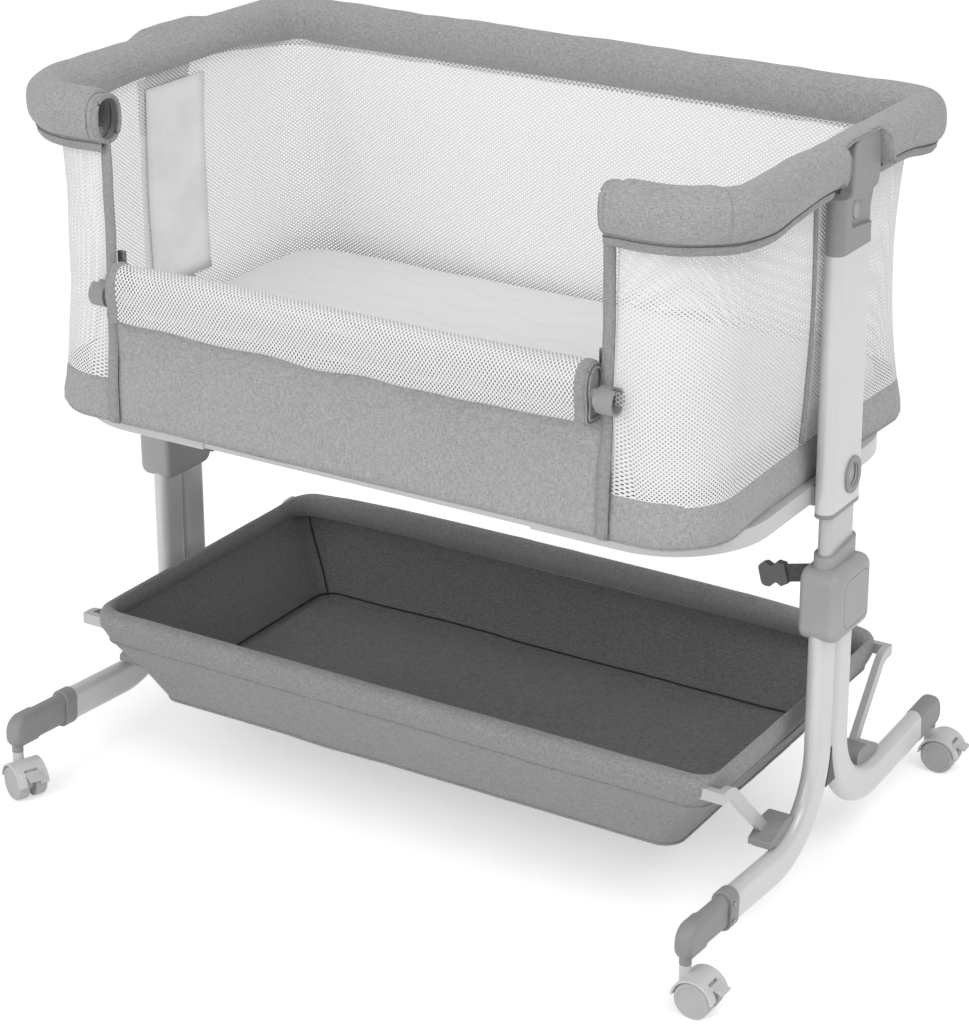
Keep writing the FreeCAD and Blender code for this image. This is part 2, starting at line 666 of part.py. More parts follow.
def hub_inner():
    """The inner hub shell: it holds the leg tubes from below and the post from above, in a sloping collar."""
    body = new_body("hub_inner")
    pad(body, "YZ_Plane", "hub_inner_x", "hub_split_x", hub_outline)
    fillet(body, "hub_corner / 2", on_plane("x", "hub_inner_x"))
    pad(body, "XY_Plane", "hub_top_z - hub_corner", "collar_top_z", collar_outline("0"))
    front = "column_y - post_depth / 2 - collar_wall"
    rear = "column_y + post_depth / 2 + collar_wall"
    slope = [
        (f"{front} - 5", "hub_top_z + collar_front"),
        (front, "hub_top_z + collar_front"),
        (rear, "collar_top_z"),
        (rear, "collar_top_z + 10"),
        (f"{front} - 5", "collar_top_z + 10"),
    ]
    pocket(body, "YZ_Plane", "hub_inner_x", "hub_outer_x", lambda sketch: outline(sketch, slope))
    hole = ("post_width + 2 * fit_gap", "post_depth + 2 * fit_gap")
    pocket(
        body,
        "XY_Plane",
        "post_bottom_z",
        "collar_top_z + 1",
        lambda sketch: slot(sketch, "leg_half_span", "column_y", *hole),
    )
    for side in (-1, 1):
        centre = f"pair_y + {side} * tube_half_pair"
        pocket(
            body,
            "XY_Plane",
            "hub_bottom_z - 1",
            "tube_top_z + seat_gap",
            lambda sketch: slot(sketch, "leg_half_span", centre, *MOUTH),
        )
    return body


def hub_outer():
    """The outer hub shell: a softly rounded cap with an inset panel, hollow behind, cut away for the collar."""
    body = new_body("hub_outer")
    pad(body, "YZ_Plane", "hub_split_x", "hub_outer_x", hub_outline)
    fillet(body, "hub_edge", on_plane("x", "hub_outer_x"))
    inside = ("hub_front_y + hub_wall", "hub_rear_y - hub_wall", "hub_bottom_z + hub_wall", "hub_top_z - hub_wall")
    pocket(
        body,
        "YZ_Plane",
        "hub_split_x",
        "hub_outer_x - hub_wall - hub_edge / 2",
        lambda sketch: rectangle(sketch, *inside, "hub_corner - hub_wall / 2"),
    )
    panel = ("hub_front_y + 17", "hub_rear_y - 9", "hub_bottom_z + 12", "hub_top_z - 13")
    groove = [f"{edge} {sign} 0.8" for edge, sign in zip(panel, "+-+-")]

    def panel_line(sketch):
        rectangle(sketch, *panel, "hub_corner")
        rectangle(sketch, *groove, "hub_corner - 0.8")

    pocket(body, "YZ_Plane", "hub_outer_x - 0.8", "hub_outer_x + 1", panel_line)
    pocket(body, "XY_Plane", "hub_top_z - hub_corner - fit_gap", "hub_top_z + 1", collar_outline("fit_gap"))
    return body


def flat_tube(name, width, depth, wall, bottom, top):
    """A straight hollow flat oval tube of a column."""
    body = new_body(name)

    def section(sketch):
        slot(sketch, "leg_half_span", "column_y", width, depth)
        slot(sketch, "leg_half_span", "column_y", f"{width} - 2 * {wall}", f"{depth} - 2 * {wall}")

    pad(body, "XY_Plane", bottom, top, section)
    return body


def on_run(body, side, stem_y):
    """Puts a body that was drawn about the stem's axis, with outwards as -Y, on the slope of the foot run."""
    body.Placement = Placement(Vector(), Rotation(Vector(1, 0, 0), -value("foot_slope")))
    return placed(body, "leg_half_span", f"-({stem_y})", run_height(side, stem_y))


def foot_collar():
    """The collar on the front tube's end, which guides the foot extension."""
    body = new_body("foot_collar")
    tube_end = "front_caster_y - front_reach"
    front, rear = f"{tube_end} - foot_collar_ahead", f"{tube_end} + foot_collar_over"
    size = [f"{side} + 2 * foot_collar_wall" for side in ("tube_width", "tube_depth")]
    pad(body, "XZ_Plane", front, rear, lambda sketch: slot(sketch, "0", "0", *size))
    fillet(body, "1.2", on_plane("y", rear), on_plane("y", front))
    pocket(body, "XZ_Plane", tube_end, f"{rear} + 1", lambda sketch: slot(sketch, "0", "0", *MOUTH))
    pocket(body, "XZ_Plane", f"{front} - 1", f"{tube_end} + 1", lambda sketch: slot(sketch, "0", "0", *SHAFT))
    return on_run(body, -1, "front_caster_y")


def foot_cap(side, stem_y, nose, back, reach, gap):
    """A foot cap with its rounded nose, the tube that goes into the leg, and the bore for the caster's stem."""
    body = new_body("foot_cap")
    half = "cap_width / 2"
    side_view = [
        (f"-({nose})", "-cap_height / 2", "14"),
        (back, "-cap_height / 2"),
        (back, "cap_height / 2"),
        (f"-({nose})", "cap_height / 2", "20"),
    ]
    pad(body, "YZ_Plane", f"-{half}", half, lambda sketch: outline(sketch, side_view))
    sides = (on_plane("x", f"-{half}"), on_plane("x", half))
    fillet(body, "cap_edge", *sides, unless=on_plane("y", back))

    def inner_tube(sketch):
        slot(sketch, "0", "0", *(f"{size} - 2 * {gap}" for size in SHAFT))
        slot(sketch, "0", "0", *(f"{size} - 2 * {gap} - 2 * plug_wall" for size in SHAFT))

    pad(body, "XZ_Plane", f"{back} - 1", f"{back} + {reach}", inner_tube)
    on_run(body, side, stem_y)
    at_stem = {"x": "leg_half_span", "y": f"-({stem_y})"}
    boss = cylinder("boss_radius", "boss_bottom_z", run_height(side, stem_y), **at_stem)
    bore = cylinder("stem_radius + axle_gap", "boss_bottom_z - 1", "stem_top_z + 1", **at_stem)
    return cut(fused(body, boss), bore)


def foot_extension():
    """The front foot: a cap on a tube that slides in the leg."""
    return foot_cap(-1, "front_caster_y", "cap_nose", "cap_back", "foot_show + foot_inside", "seat_gap")


def rear_foot():
    """The cap that plugs into the rear tube's end."""
    front = foot_cap(1, "rear_caster_y", "rear_cap_nose", "rear_cap_back - fit_gap", "plug_length", "fit_gap")
    return twin(front, "y")


# ---------------------------------------------------------------- casters, about the swivel axis, trailing in +X

BRAKE_TURN = math.radians(value("brake_angle"))
BRAKE_X = f"caster_trail + guard_outer * {math.cos(BRAKE_TURN):.6f}"
BRAKE_Z = f"wheel_radius + guard_outer * {math.sin(BRAKE_TURN):.6f}"


def wheel_space(side):
    """Room for one wheel under the hood; side is -1 or 1 in Y."""
    ends = ("web_thickness / 2", "guard_half_width + 1")
    start, end = ends if side > 0 else (f"-({ends[1]})", f"-({ends[0]})")
    return cylinder("guard_inner", start, end, x="caster_trail", z="wheel_radius", axis="y")


def caster_hood():
    """Hood, web, neck and stem of a twin wheel caster, with its axle and the ears of the brake."""
    at_axle = {"x": "caster_trail", "z": "wheel_radius", "axis": "y"}
    around = ("-60", "100", "-60", "60")
    guard = common(
        cylinder("guard_outer", "-guard_half_width", "guard_half_width", **at_axle),
        box(*around, "guard_bottom_z", "100"),
    )
    neck = cylinder("neck_radius", "guard_bottom_z + 4", "boss_bottom_z - seat_gap")
    slit = common(
        cylinder("guard_outer + 1", "-brake_half_width - seat_gap", "brake_half_width + seat_gap", **at_axle),
        box(
            f"{BRAKE_X} - brake_hub_radius - 2",
            *around[1:],
            "guard_bottom_z - 1",
            f"{BRAKE_Z} + brake_hub_radius + 1.2",
        ),
    )
    housing = cut(fused(guard, neck), wheel_space(-1), wheel_space(1), slit)
    half_web = ("-web_thickness / 2", "web_thickness / 2")
    pieces = [housing, cylinder("stem_radius", "boss_bottom_z - 4", "stem_top_z")]
    pieces.append(cylinder("wheel_disc_radius - 3", *half_web, **at_axle))
    pieces.append(box("caster_trail - 7", "caster_trail + 7", *half_web, "wheel_radius", "wheel_radius + guard_inner"))
    pieces.append(cylinder("axle_radius", "2.5 - wheel_outer", "wheel_outer - 2.5", **at_axle))
    at_pin = {"x": BRAKE_X, "z": BRAKE_Z, "axis": "y"}
    pieces.append(cylinder("brake_pin_radius", "-brake_half_width - 3", "brake_half_width + 3", **at_pin))
    for side in (-1, 1):
        ends = sorted((f"{side} * (brake_half_width + seat_gap)", f"{side} * (brake_half_width + 4)"), key=value)
        pieces.append(cylinder("brake_hub_radius", *ends, **at_pin))
    return fused(*pieces)


def caster_wheel():
    """One wheel, revolved about the axle: rounded tread, recessed disc, blind bore."""
    body = new_body("wheel")
    profile = new_sketch(body, "YZ_Plane")
    corners = [
        ("wheel_inner", "axle_radius + axle_gap"),
        ("wheel_outer - 2.2", "axle_radius + axle_gap"),
        ("wheel_outer - 2.2", "0"),
        ("wheel_outer - 1", "0"),
        ("wheel_outer - 1", "wheel_disc_radius"),
        ("wheel_outer", "wheel_disc_radius + 1"),
        ("wheel_outer", "wheel_radius", "wheel_round"),
        ("wheel_inner", "wheel_radius", "wheel_round / 2"),
    ]
    outline(profile, corners)
    turn = body.newObject("PartDesign::Revolution", "revolution")
    turn.Profile = profile
    turn.ReferenceAxis = (profile, ["H_Axis"])
    turn.Angle = 360
    return body


def caster_brake():
    """The brake pedal: an eye on its pin and a plate that slopes down and out, about the pin."""
    body = new_body("brake")
    width = ("-brake_half_width", "brake_half_width")
    plate = ("1", "brake_length", "-brake_thickness / 2", "brake_thickness / 2", "brake_thickness / 2.2")
    pad(body, "XZ_Plane", *width, lambda sketch: disc(sketch, "0", "0", "brake_hub_radius"))
    pad(body, "XZ_Plane", *width, lambda sketch: rectangle(sketch, *plate))
    ends = ("-brake_half_width - 1", "brake_half_width + 1")
    pocket(body, "XZ_Plane", *ends, lambda sketch: disc(sketch, "0", "0", "brake_pin_radius + axle_gap"))
    return body


# Each caster's side in X, its place in Y and how far it is turned on its swivel as it stands, in degrees.
CASTERS = {
    "front_right": (1, "-(front_caster_y)", 0),
    "rear_right": (1, "rear_caster_y", 3),
    "front_left": (-1, "-(front_caster_y)", -23),
    "rear_left": (-1, "rear_caster_y", 8),
}


def casters():
    """The same caster at the four feet, each turned on its swivel as it stands."""
    hood, wheel, brake = caster_hood(), caster_wheel(), caster_brake()
    wheels = group(wheel, twin(wheel, "y"))
    placed(wheels, "caster_trail", "0", "wheel_radius")
    lever = group(brake)
    lever.Placement = Placement(Vector(), Rotation(Vector(0, 1, 0), value("brake_slope")))
    placed(lever, BRAKE_X, "0", BRAKE_Z)
    for corner, (side, place_y, angle) in CASTERS.items():
        for kind, source in (("caster_hood", hood), ("caster_wheels", wheels), ("caster_brake", lever)):
            obj = node(f"{kind}_{corner}", group(source))
            obj.Placement = Placement(Vector(), Rotation(Vector(0, 0, 1), angle))
            placed(obj, f"{side} * leg_half_span", place_y)


# ---------------------------------------------------------------- columns


def window_slot(rim="0"):
    """Draws the height window, or its bezel's outline a rim further out."""
    size = (f"window_width + 2 * {rim}", f"window_height + 2 * {rim}")
    return lambda sketch: slot(sketch, "window_y", "window_z", *size)


def upper_tube():
    """The outer tube of a column, with the hole of the height window in its outer face."""
    body = flat_tube("upper_tube", "upper_width", "upper_depth", "upper_wall", "upper_bottom_z", "upper_top_z")
    ends = ("leg_half_span + post_width / 2", "fitting_outer_x + 1")
    pocket(body, "YZ_Plane", *ends, window_slot())
    return body


def guide_bush():
    """The bush in the mouth of the upper tube, with a rim below it; the post runs in it."""
    body = new_body("bush")
    inside = ("post_width + 2 * seat_gap", "post_depth + 2 * seat_gap")
    lined = ("upper_width - 2 * upper_wall - 2 * fit_gap", "upper_depth - 2 * upper_wall - 2 * fit_gap")

    def ring(*outside):
        def draw(sketch):
            slot(sketch, "leg_half_span", "column_y", *outside)
            slot(sketch, "leg_half_span", "column_y", *inside)

        return draw

    pad(body, "XY_Plane", "upper_bottom_z - bush_rim", "upper_bottom_z", ring("upper_width", "upper_depth"))
    pad(body, "XY_Plane", "upper_bottom_z - bush_rim", "upper_bottom_z + bush_length", ring(*lined))
    return body


def window_bezel():
    """The raised ring round the height window."""
    body = new_body("bezel")

    def ring(sketch):
        window_slot("bezel_rim")(sketch)
        window_slot()(sketch)

    pad(body, "YZ_Plane", "fitting_outer_x", "fitting_outer_x + bezel_rise", ring)
    return body


def fitting_recess():
    """The finger recess round the button, open to the rear."""
    body = new_body("recess")
    corners = [
        ("button_y - 19", "button_z - 16", "6"),
        ("column_y + 62", "button_z - 24"),
        ("column_y + 62", "saddle_z + 4"),
        ("button_y + 6", "saddle_z - 10", "12"),
        ("button_y - 17", "saddle_z - 4", "6"),
    ]
    ends = ("fitting_outer_x - recess_depth", "fitting_outer_x + 1")
    pad(body, "YZ_Plane", *ends, lambda sketch: outline(sketch, corners))
    return body


def button_bore():
    body = new_body("button_bore")
    size = ("button_width + 2 * seat_gap", "button_height + 2 * seat_gap")
    ends = ("fitting_outer_x - recess_depth - button_bore_depth", "fitting_outer_x - recess_depth / 2")
    pad(body, "YZ_Plane", *ends, lambda sketch: slot(sketch, "button_y", "button_z", *size))
    return body


def fitting_head():
    """The flat head of a column, which rises beside the rail tube, and its foot along the fitting's outside."""
    body = new_body("head")
    side_view = [
        ("column_y - 26", "upper_top_z + 8"),
        ("column_y + 28", "upper_top_z + 8"),
        ("column_y + 49", "saddle_z + 8", "30"),
        ("column_y + 51", "fitting_top_z", "15"),
        ("column_y - 14", "fitting_top_z", "15"),
        ("column_y - 17", "saddle_z", "6"),
        ("column_y - 26", "saddle_z"),
    ]
    ends = ("fitting_outer_x - head_thickness", "fitting_outer_x")
    pad(body, "YZ_Plane", *ends, lambda sketch: outline(sketch, side_view))
    fillet(body, "3", on_plane("x", "fitting_outer_x"))
    return body


def top_fitting():
    """The moulded head of a column: a plug, a body like the tube's end, a recess and a flat head."""
    body = new_body("fitting")
    plug = ("upper_width - 2 * upper_wall - 2 * fit_gap", "upper_depth - 2 * upper_wall - 2 * fit_gap")

    def section(*size):
        return lambda sketch: slot(sketch, "leg_half_span", "column_y", *size)

    pad(body, "XY_Plane", "upper_top_z", "saddle_z", section("upper_width", "upper_depth"))
    pad(body, "XY_Plane", "upper_top_z - fitting_plug", "upper_top_z + 4", section(*plug))
    beside = ("column_y - upper_depth / 2", "column_y + upper_depth")
    rail = cylinder("rail_tube_radius + fit_gap", *beside, x="rail_end_x", z="rail_z", axis="y")
    return cut(fused(body, fitting_head()), fitting_recess(), button_bore(), rail)


def release_button():
    """The button in the fitting's recess, slightly proud of the recess floor."""
    body = new_body("button")
    face = "fitting_outer_x - recess_depth + button_proud"
    pad(
        body,
        "YZ_Plane",
        f"{face} - button_length",
        face,
        lambda sketch: slot(sketch, "button_y", "button_z", "button_width", "button_height"),
    )
    fillet(body, "1.2", on_plane("x", face))
    return body


# ---------------------------------------------------------------- top rail and drop side


def rail_route(sketch, end_x):
    """The rail's centre line from one front end round the back to the other."""
    corners = [
        (f"-({end_x})", "rail_front_y"),
        ("-(rail_end_x)", "rail_front_y", "rail_front_turn"),
        ("-(rail_end_x)", "rail_back_y", "rail_back_turn"),
        ("rail_end_x", "rail_back_y", "rail_back_turn"),
        ("rail_end_x", "rail_front_y", "rail_front_turn"),
        (end_x, "rail_front_y"),
    ]
    outline(sketch, corners, closed=False)


def rail_pipe(body, kind, end_x, *radii):
    """Circles of the given radii drawn along the rail."""
    section = new_sketch(body, "YZ_Plane", f"-({end_x})")
    for radius in radii:
        disc(section, "rail_front_y", "rail_z", radius)
    route = new_sketch(body, "XY_Plane", "rail_z")
    rail_route(route, end_x)
    return pipe(body, kind, section, route)


def rail_tube():
    body = new_body("rail_tube")
    rail_pipe(body, "AdditivePipe", "rail_stub_x", "rail_tube_radius", "rail_tube_bore")
    return body


def rail_socket():
    """The latch socket on a front end of the rail tube."""
    at_end = {"y": "rail_front_y", "z": "rail_z", "axis": "x"}
    shell = cylinder("socket_radius", "socket_inner_x", "socket_outer_x", **at_end)
    tube_seat = cylinder("rail_tube_radius + fit_gap", "rail_stub_x", "socket_outer_x + 1", **at_end)
    mouth = cylinder("socket_mouth_radius", "socket_inner_x - 1", "rail_stub_x + 1", **at_end)
    return cut(shell, tube_seat, mouth)


def rail_cover():
    """The padded cover of the rail: a rounded loop, open at the drop side and round the heads."""
    body = new_body("rail_cover")
    half = "cover_half_depth"

    def loop(sketch, x, inset, front_turn, back_turn):
        front, back = f"rail_front_y + {inset}", f"rail_back_y - {inset}"
        corners = [
            (f"-({x})", front, front_turn),
            (x, front, front_turn),
            (x, back, back_turn),
            (f"-({x})", back, back_turn),
        ]
        outline(sketch, corners)

    def ring(sketch):
        loop(sketch, "cover_outer_x", f"(-{half})", "cover_front_turn", "rail_back_turn + cover_outward")
        loop(sketch, "cover_inner_x", half, f"rail_front_turn - {half}", f"rail_back_turn - {half}")

    pad(body, "XY_Plane", "cover_bottom_z", "cover_top_z", ring)
    fillet(body, "cover_round", on_plane("z", "cover_bottom_z"), on_plane("z", "cover_top_z"))
    gap = ("-(cover_end_x)", "cover_end_x", "rail_front_y - 60", "rail_front_y + 60")
    pocket(body, "XY_Plane", "cover_bottom_z - 1", "cover_top_z + 1", lambda sketch: rectangle(sketch, *gap))
    rail_pipe(body, "SubtractivePipe", "cover_end_x", "rail_tube_radius + fit_gap")
    return cut(body, *fitting_spaces(-1), *fitting_spaces(1), *latch_spaces(-1), *latch_spaces(1))


def fitting_spaces(side):
    """Room in the padding for a column's saddle and head; side is -1 or 1 in X."""
    outside = f"{side} * (cover_outer_x + 5)"
    body_side = f"{side} * (leg_half_span - upper_width / 2 - seat_gap)"
    head_side = f"{side} * (fitting_outer_x - head_thickness - seat_gap)"
    saddle = box(
        *sorted((body_side, outside), key=value),
        "column_y - upper_depth / 2 - seat_gap",
        "column_y + upper_depth / 2 + seat_gap",
        "cover_bottom_z - 1",
        "saddle_z + seat_gap",
    )
    head = box(
        *sorted((head_side, outside), key=value),
        "column_y - 24",
        "column_y + 60",
        "cover_bottom_z - 1",
        "cover_top_z + 1",
    )
    return saddle, head


def latch_spaces(side):
    """Room in the padding for the socket and for the drop rail's cup; side is -1 or 1 in X."""
    notch = "(cup_radius + 2 * seat_gap)"
    at_end = {"y": "rail_front_y", "z": "rail_z", "axis": "x"}
    near = sorted((f"{side} * (cover_end_x - 1)", f"{side} * socket_inner_x"), key=value)
    far = sorted((f"{side} * (socket_inner_x - 1)", f"{side} * (socket_outer_x + fit_gap)"), key=value)
    entry = (f"rail_front_y - {notch}", f"rail_front_y + {notch}", "cover_bottom_z - 1", "rail_z")
    return cylinder(notch, *near, **at_end), box(*near, *entry), cylinder("socket_radius + fit_gap", *far, **at_end)


def drop_rail_tube():
    """The tube along the top of the drop side, shown lowered."""
    at_drop = {"y": "drop_y", "z": "drop_z", "axis": "x"}
    outside = cylinder("rail_tube_radius", "-(drop_tube_end_x)", "drop_tube_end_x", **at_drop)
    return cut(outside, cylinder("rail_tube_bore", "-(drop_tube_end_x) - 1", "drop_tube_end_x + 1", **at_drop))


def drop_rail_cup():
    """The cup on an end of the drop rail, with a catch notch in its rim."""
    at_drop = {"y": "drop_y", "z": "drop_z", "axis": "x"}
    shell = cylinder("cup_radius", "cup_inner_x", "cup_outer_x", **at_drop)
    hollow = cylinder("cup_radius - cup_wall", "cup_inner_x + 2 * cup_wall", "cup_outer_x + 1", **at_drop)
    throat = cylinder("rail_tube_radius + fit_gap", "cup_inner_x - 1", "cup_outer_x", **at_drop)
    notch = box("cup_outer_x - 7", "cup_outer_x + 1", "drop_y - 5", "drop_y + 5", "drop_z", "drop_z + 20")
    return cut(shell, hollow, throat, notch)


def drop_mesh_roll():
    """The mesh of the lowered side, gathered in soft folds round the drop rail."""
    body = new_body("mesh_roll")
    front, rear = "drop_y - roll_half_depth", "drop_y + roll_half_depth"
    side_view = [
        (f"{front} + 3", "roll_bottom_z", "11"),
        (f"{rear} - 2", "roll_bottom_z + 2", "12"),
        (rear, "drop_z - 6", "30"),
        (f"{rear} - 3", "drop_z + 12", "30"),
        (f"{rear} - 1", "roll_top_z", "13"),
        (f"{front} + 2", "roll_top_z", "14"),
        (front, "drop_z + 10", "20"),
        (f"{front} + 4", "drop_z - 8", "12"),
        (f"{front} - 1", "drop_z - 18", "9"),
    ]

    def section(sketch):
        outline(sketch, side_view)
        disc(sketch, "drop_y", "drop_z", "rail_tube_radius + fit_gap")

    pad(body, "YZ_Plane", "-(roll_end_x)", "roll_end_x", section)
    return body


def zip_tape():
    """The flap of mesh and zip tape between the corner and the opening."""
    front, back = "tape_y - tape_thickness / 2", "tape_y + tape_thickness / 2"
    return box("tape_inner_x", "tape_outer_x", front, back, "band_top_z + seat_gap", "cover_bottom_z - seat_gap")


def zip_slider():
    """A zip slider that wraps the tape's free edge, with its pull tab hanging in front."""
    low, high = "zip_z - zip_length / 2", "zip_z + zip_length / 2"
    outer_x = "zip_inner_x + zip_width"
    case = box("zip_inner_x", outer_x, "tape_y - zip_half_depth", "tape_y + zip_half_depth", low, high)
    slit = box(
        "tape_inner_x - seat_gap",
        f"{outer_x} + 1",
        "tape_y - tape_thickness / 2 - seat_gap",
        "tape_y + tape_thickness / 2 + seat_gap",
        f"{low} - 1",
        f"{high} + 1",
    )
    face = "tape_y - zip_half_depth"
    pull = box("zip_inner_x + 2", f"{outer_x} - 2", f"{face} - 0.8", face, f"{low} - pull_length + 6", f"{low} + 6")
    return fused(cut(case, slit), pull)


# ---------------------------------------------------------------- bed


def tray(x, front_y, back_y, corner, z, end_bow=0, back_bow=0):
    """A closed rounded outline for lofts, its ends and back drawn in by their bows; plain numbers."""
    corners = ((x, front_y, -90), (x, back_y, 0), (-x, back_y, 90), (-x, front_y, 180))
    arcs = []
    for cx, cy, start in corners:
        centre = Vector(cx - math.copysign(corner, cx), cy - math.copysign(corner, cy), z)
        turns = (math.radians(start + step) for step in (0, 45, 90))
        arcs.append([centre + Vector(math.cos(a), math.sin(a), 0) * corner for a in turns])
    draws = (Vector(-end_bow, 0, 0), Vector(0, -back_bow, 0), Vector(end_bow, 0, 0), Vector())
    edges = []
    for n, (arc, draw) in enumerate(zip(arcs, draws)):
        start, end = arc[2], arcs[(n + 1) % 4][0]
        edges.append(Part.Arc(*arc).toShape())
        if draw.Length:
            edges.append(Part.Arc(start, (start + end) / 2 + draw, end).toShape())
        else:
            edges.append(Part.LineSegment(start, end).toShape())
    return Part.Wire(edges)


def band_size(share, inset=0):
    """The band's plan at a share of its height, as tray() takes it, drawn in by inset."""
    taper = value("band_taper") * share
    return (
        value("band_half_length") - taper - inset,
        value("band_front_y") + taper / 3 + inset,
        value("band_back_y") - taper - inset,
        value("band_corner") - inset,
        value("band_bottom_z") + value("band_height") * share,
        value("band_end_bow"),
        value("band_bow"),
    )


def fabric_band():
    """The fabric tray round the base board: a tapering band with a floor, and the front panel."""
    wall = value("band_wall")
    outside = Part.makeLoft([tray(*band_size(0)), tray(*band_size(1))], True, True)
    lower, upper = list(band_size(0, wall)), list(band_size(1, wall))
    lower[4] += wall
    upper[4] += 0.01
    inside = Part.makeLoft([tray(*lower), tray(*upper)], True, True)
    front_y, half = band_size(1)[1], value("panel_half_width")
    top_z = value("band_top_z")
    panel = Part.makeBox(2 * half, wall, value("panel_height") + 1, Vector(-half, front_y, top_z - 1))
    return solid_feature("fabric_band", outside.cut(inside).fuse(panel))


def mesh_walls():
    """The mesh round the bed, drawn in between band and rail, open at the drop side."""

    def skin(inset):
        spill = 1 if inset else 0
        foot = list(band_size(1, inset))
        foot[4] = value("band_top_z + seat_gap") - spill
        turn = value("band_corner") - inset
        waist = (
            value("waist_half_length") - inset,
            value("waist_front_y") + inset,
            value("waist_back_y") - inset,
            turn,
            value("waist_z"),
            value("waist_end_bow"),
            value("waist_bow"),
        )
        top = (
            value("rail_end_x - mesh_end_inset") - inset,
            value("rail_front_y + mesh_front_inset") + inset,
            value("rail_back_y - mesh_top_inset") - inset,
            turn,
            value("cover_bottom_z - seat_gap") + spill,
            0.5,
            0.5,
        )
        return Part.makeLoft([tray(*foot), tray(*waist), tray(*top)], True, False)

    wall = skin(0).cut(skin(value("mesh_thickness")))
    half = value("tape_outer_x + seat_gap")
    low, high = value("band_top_z") - 5, value("cover_bottom_z") + 5
    doorway = Part.makeBox(2 * half, 200, high - low, Vector(-half, value("band_front_y") - 60, low))
    return solid_feature("mesh_walls", wall.cut(doorway))


def base_board():
    """The folding board that carries the mattress."""
    body = new_body("board")
    margin = "(band_wall + board_margin)"
    bottom = "band_bottom_z + band_wall + seat_gap"
    sides = (
        f"-(band_half_length - {margin})",
        f"band_half_length - {margin}",
        f"band_front_y + {margin}",
        f"band_back_y - {margin} - band_bow",
    )
    pad(
        body,
        "XY_Plane",
        bottom,
        f"{bottom} + board_thickness",
        lambda sketch: rectangle(sketch, *sides, "band_corner - board_margin"),
    )
    return body


def mattress():
    """The mattress: a rounded slab with soft edges and a top that swells to its middle."""
    bottom = value("band_bottom_z + band_wall + board_thickness + 2 * seat_gap")
    side = value("band_half_length - mattress_margin")
    front, back = value("band_front_y + mattress_margin"), value("band_back_y - mattress_back_margin")
    corner, crown = value("mattress_corner"), value("mattress_crown")
    swell = value("mattress_swell")
    border_z = bottom + value("mattress_thickness") - swell

    def level(inset, z):
        return tray(side - inset, front + inset, back - inset, corner - inset * 0.6, z)

    body = Part.makeLoft([level(0, bottom), level(0, border_z)], True, True)
    rims = [e for e in body.Edges if e.BoundBox.ZLength < 1e-6]
    body = body.makeFillet(crown, rims)
    pillow = Part.makeLoft([level(crown, border_z - 1), level(crown * 3, border_z + swell)], True, True)
    return solid_feature("mattress", body.fuse(pillow).removeSplitter())


SUPPORT_Z = "(band_bottom_z - seat_gap - support_height / 2)"


def support_section(sketch, y, inset="0"):
    """The rectangular tube under the bed, in section; inset makes the tube that slips inside it."""
    for wall in (inset, f"({inset}) + support_wall"):
        rectangle(
            sketch,
            f"{y} - support_width / 2 + {wall}",
            f"{y} + support_width / 2 - ({wall})",
            f"{SUPPORT_Z} - support_height / 2 + {wall}",
            f"{SUPPORT_Z} + support_height / 2 - ({wall})",
        )


def bed_support_end():
    """The U shaped tube under one end of the bed."""
    body = new_body("support_end")
    section = new_sketch(body, "YZ_Plane", "support_split_x")
    support_section(section, "support_front_y")
    route = new_sketch(body, "XY_Plane", SUPPORT_Z)
    corners = [
        ("support_split_x", "support_front_y"),
        ("support_x", "support_front_y", "support_turn"),
        ("support_x", "support_back_y", "support_turn"),
        ("support_split_x", "support_back_y"),
    ]
    outline(route, corners, closed=False)
    pipe(body, "AdditivePipe", section, route)
    return body


def bed_support_rail(y):
    """A long tube that slips into both end tubes."""
    body = new_body("support_rail")
    end = "support_split_x + support_sleeve"
    pad(body, "YZ_Plane", f"-({end})", end, lambda sketch: support_section(sketch, y, "support_wall + fit_gap"))
    return body


def support_bracket():
    """The bracket on the inner face of the upper tube, round the tube under the bed."""
    low, high = f"{SUPPORT_Z} - support_height / 2 - bracket_wall", "band_bottom_z - 2 * seat_gap"
    front, rear = "column_y - bracket_half_depth", "column_y + bracket_half_depth"
    inner_x = "support_x - support_width / 2 - bracket_wall"
    shell = box(inner_x, "leg_half_span - upper_width / 2", front, rear, low, high)
    channel = box(
        "support_x - support_width / 2 - fit_gap",
        "support_x + support_width / 2 + fit_gap",
        f"{front} - 1",
        f"{rear} + 1",
        f"{SUPPORT_Z} - support_height / 2 - fit_gap",
        f"{high} + 1",
    )
    return cut(shell, channel)


# ---------------------------------------------------------------- storage basket

ROD_FRONT_Y = "(basket_front_y + hem_depth / 2)"
ROD_BACK_Y = "(basket_back_y - hem_depth / 2)"
ROD_Z = "(basket_rim_z - hem_height / 2)"


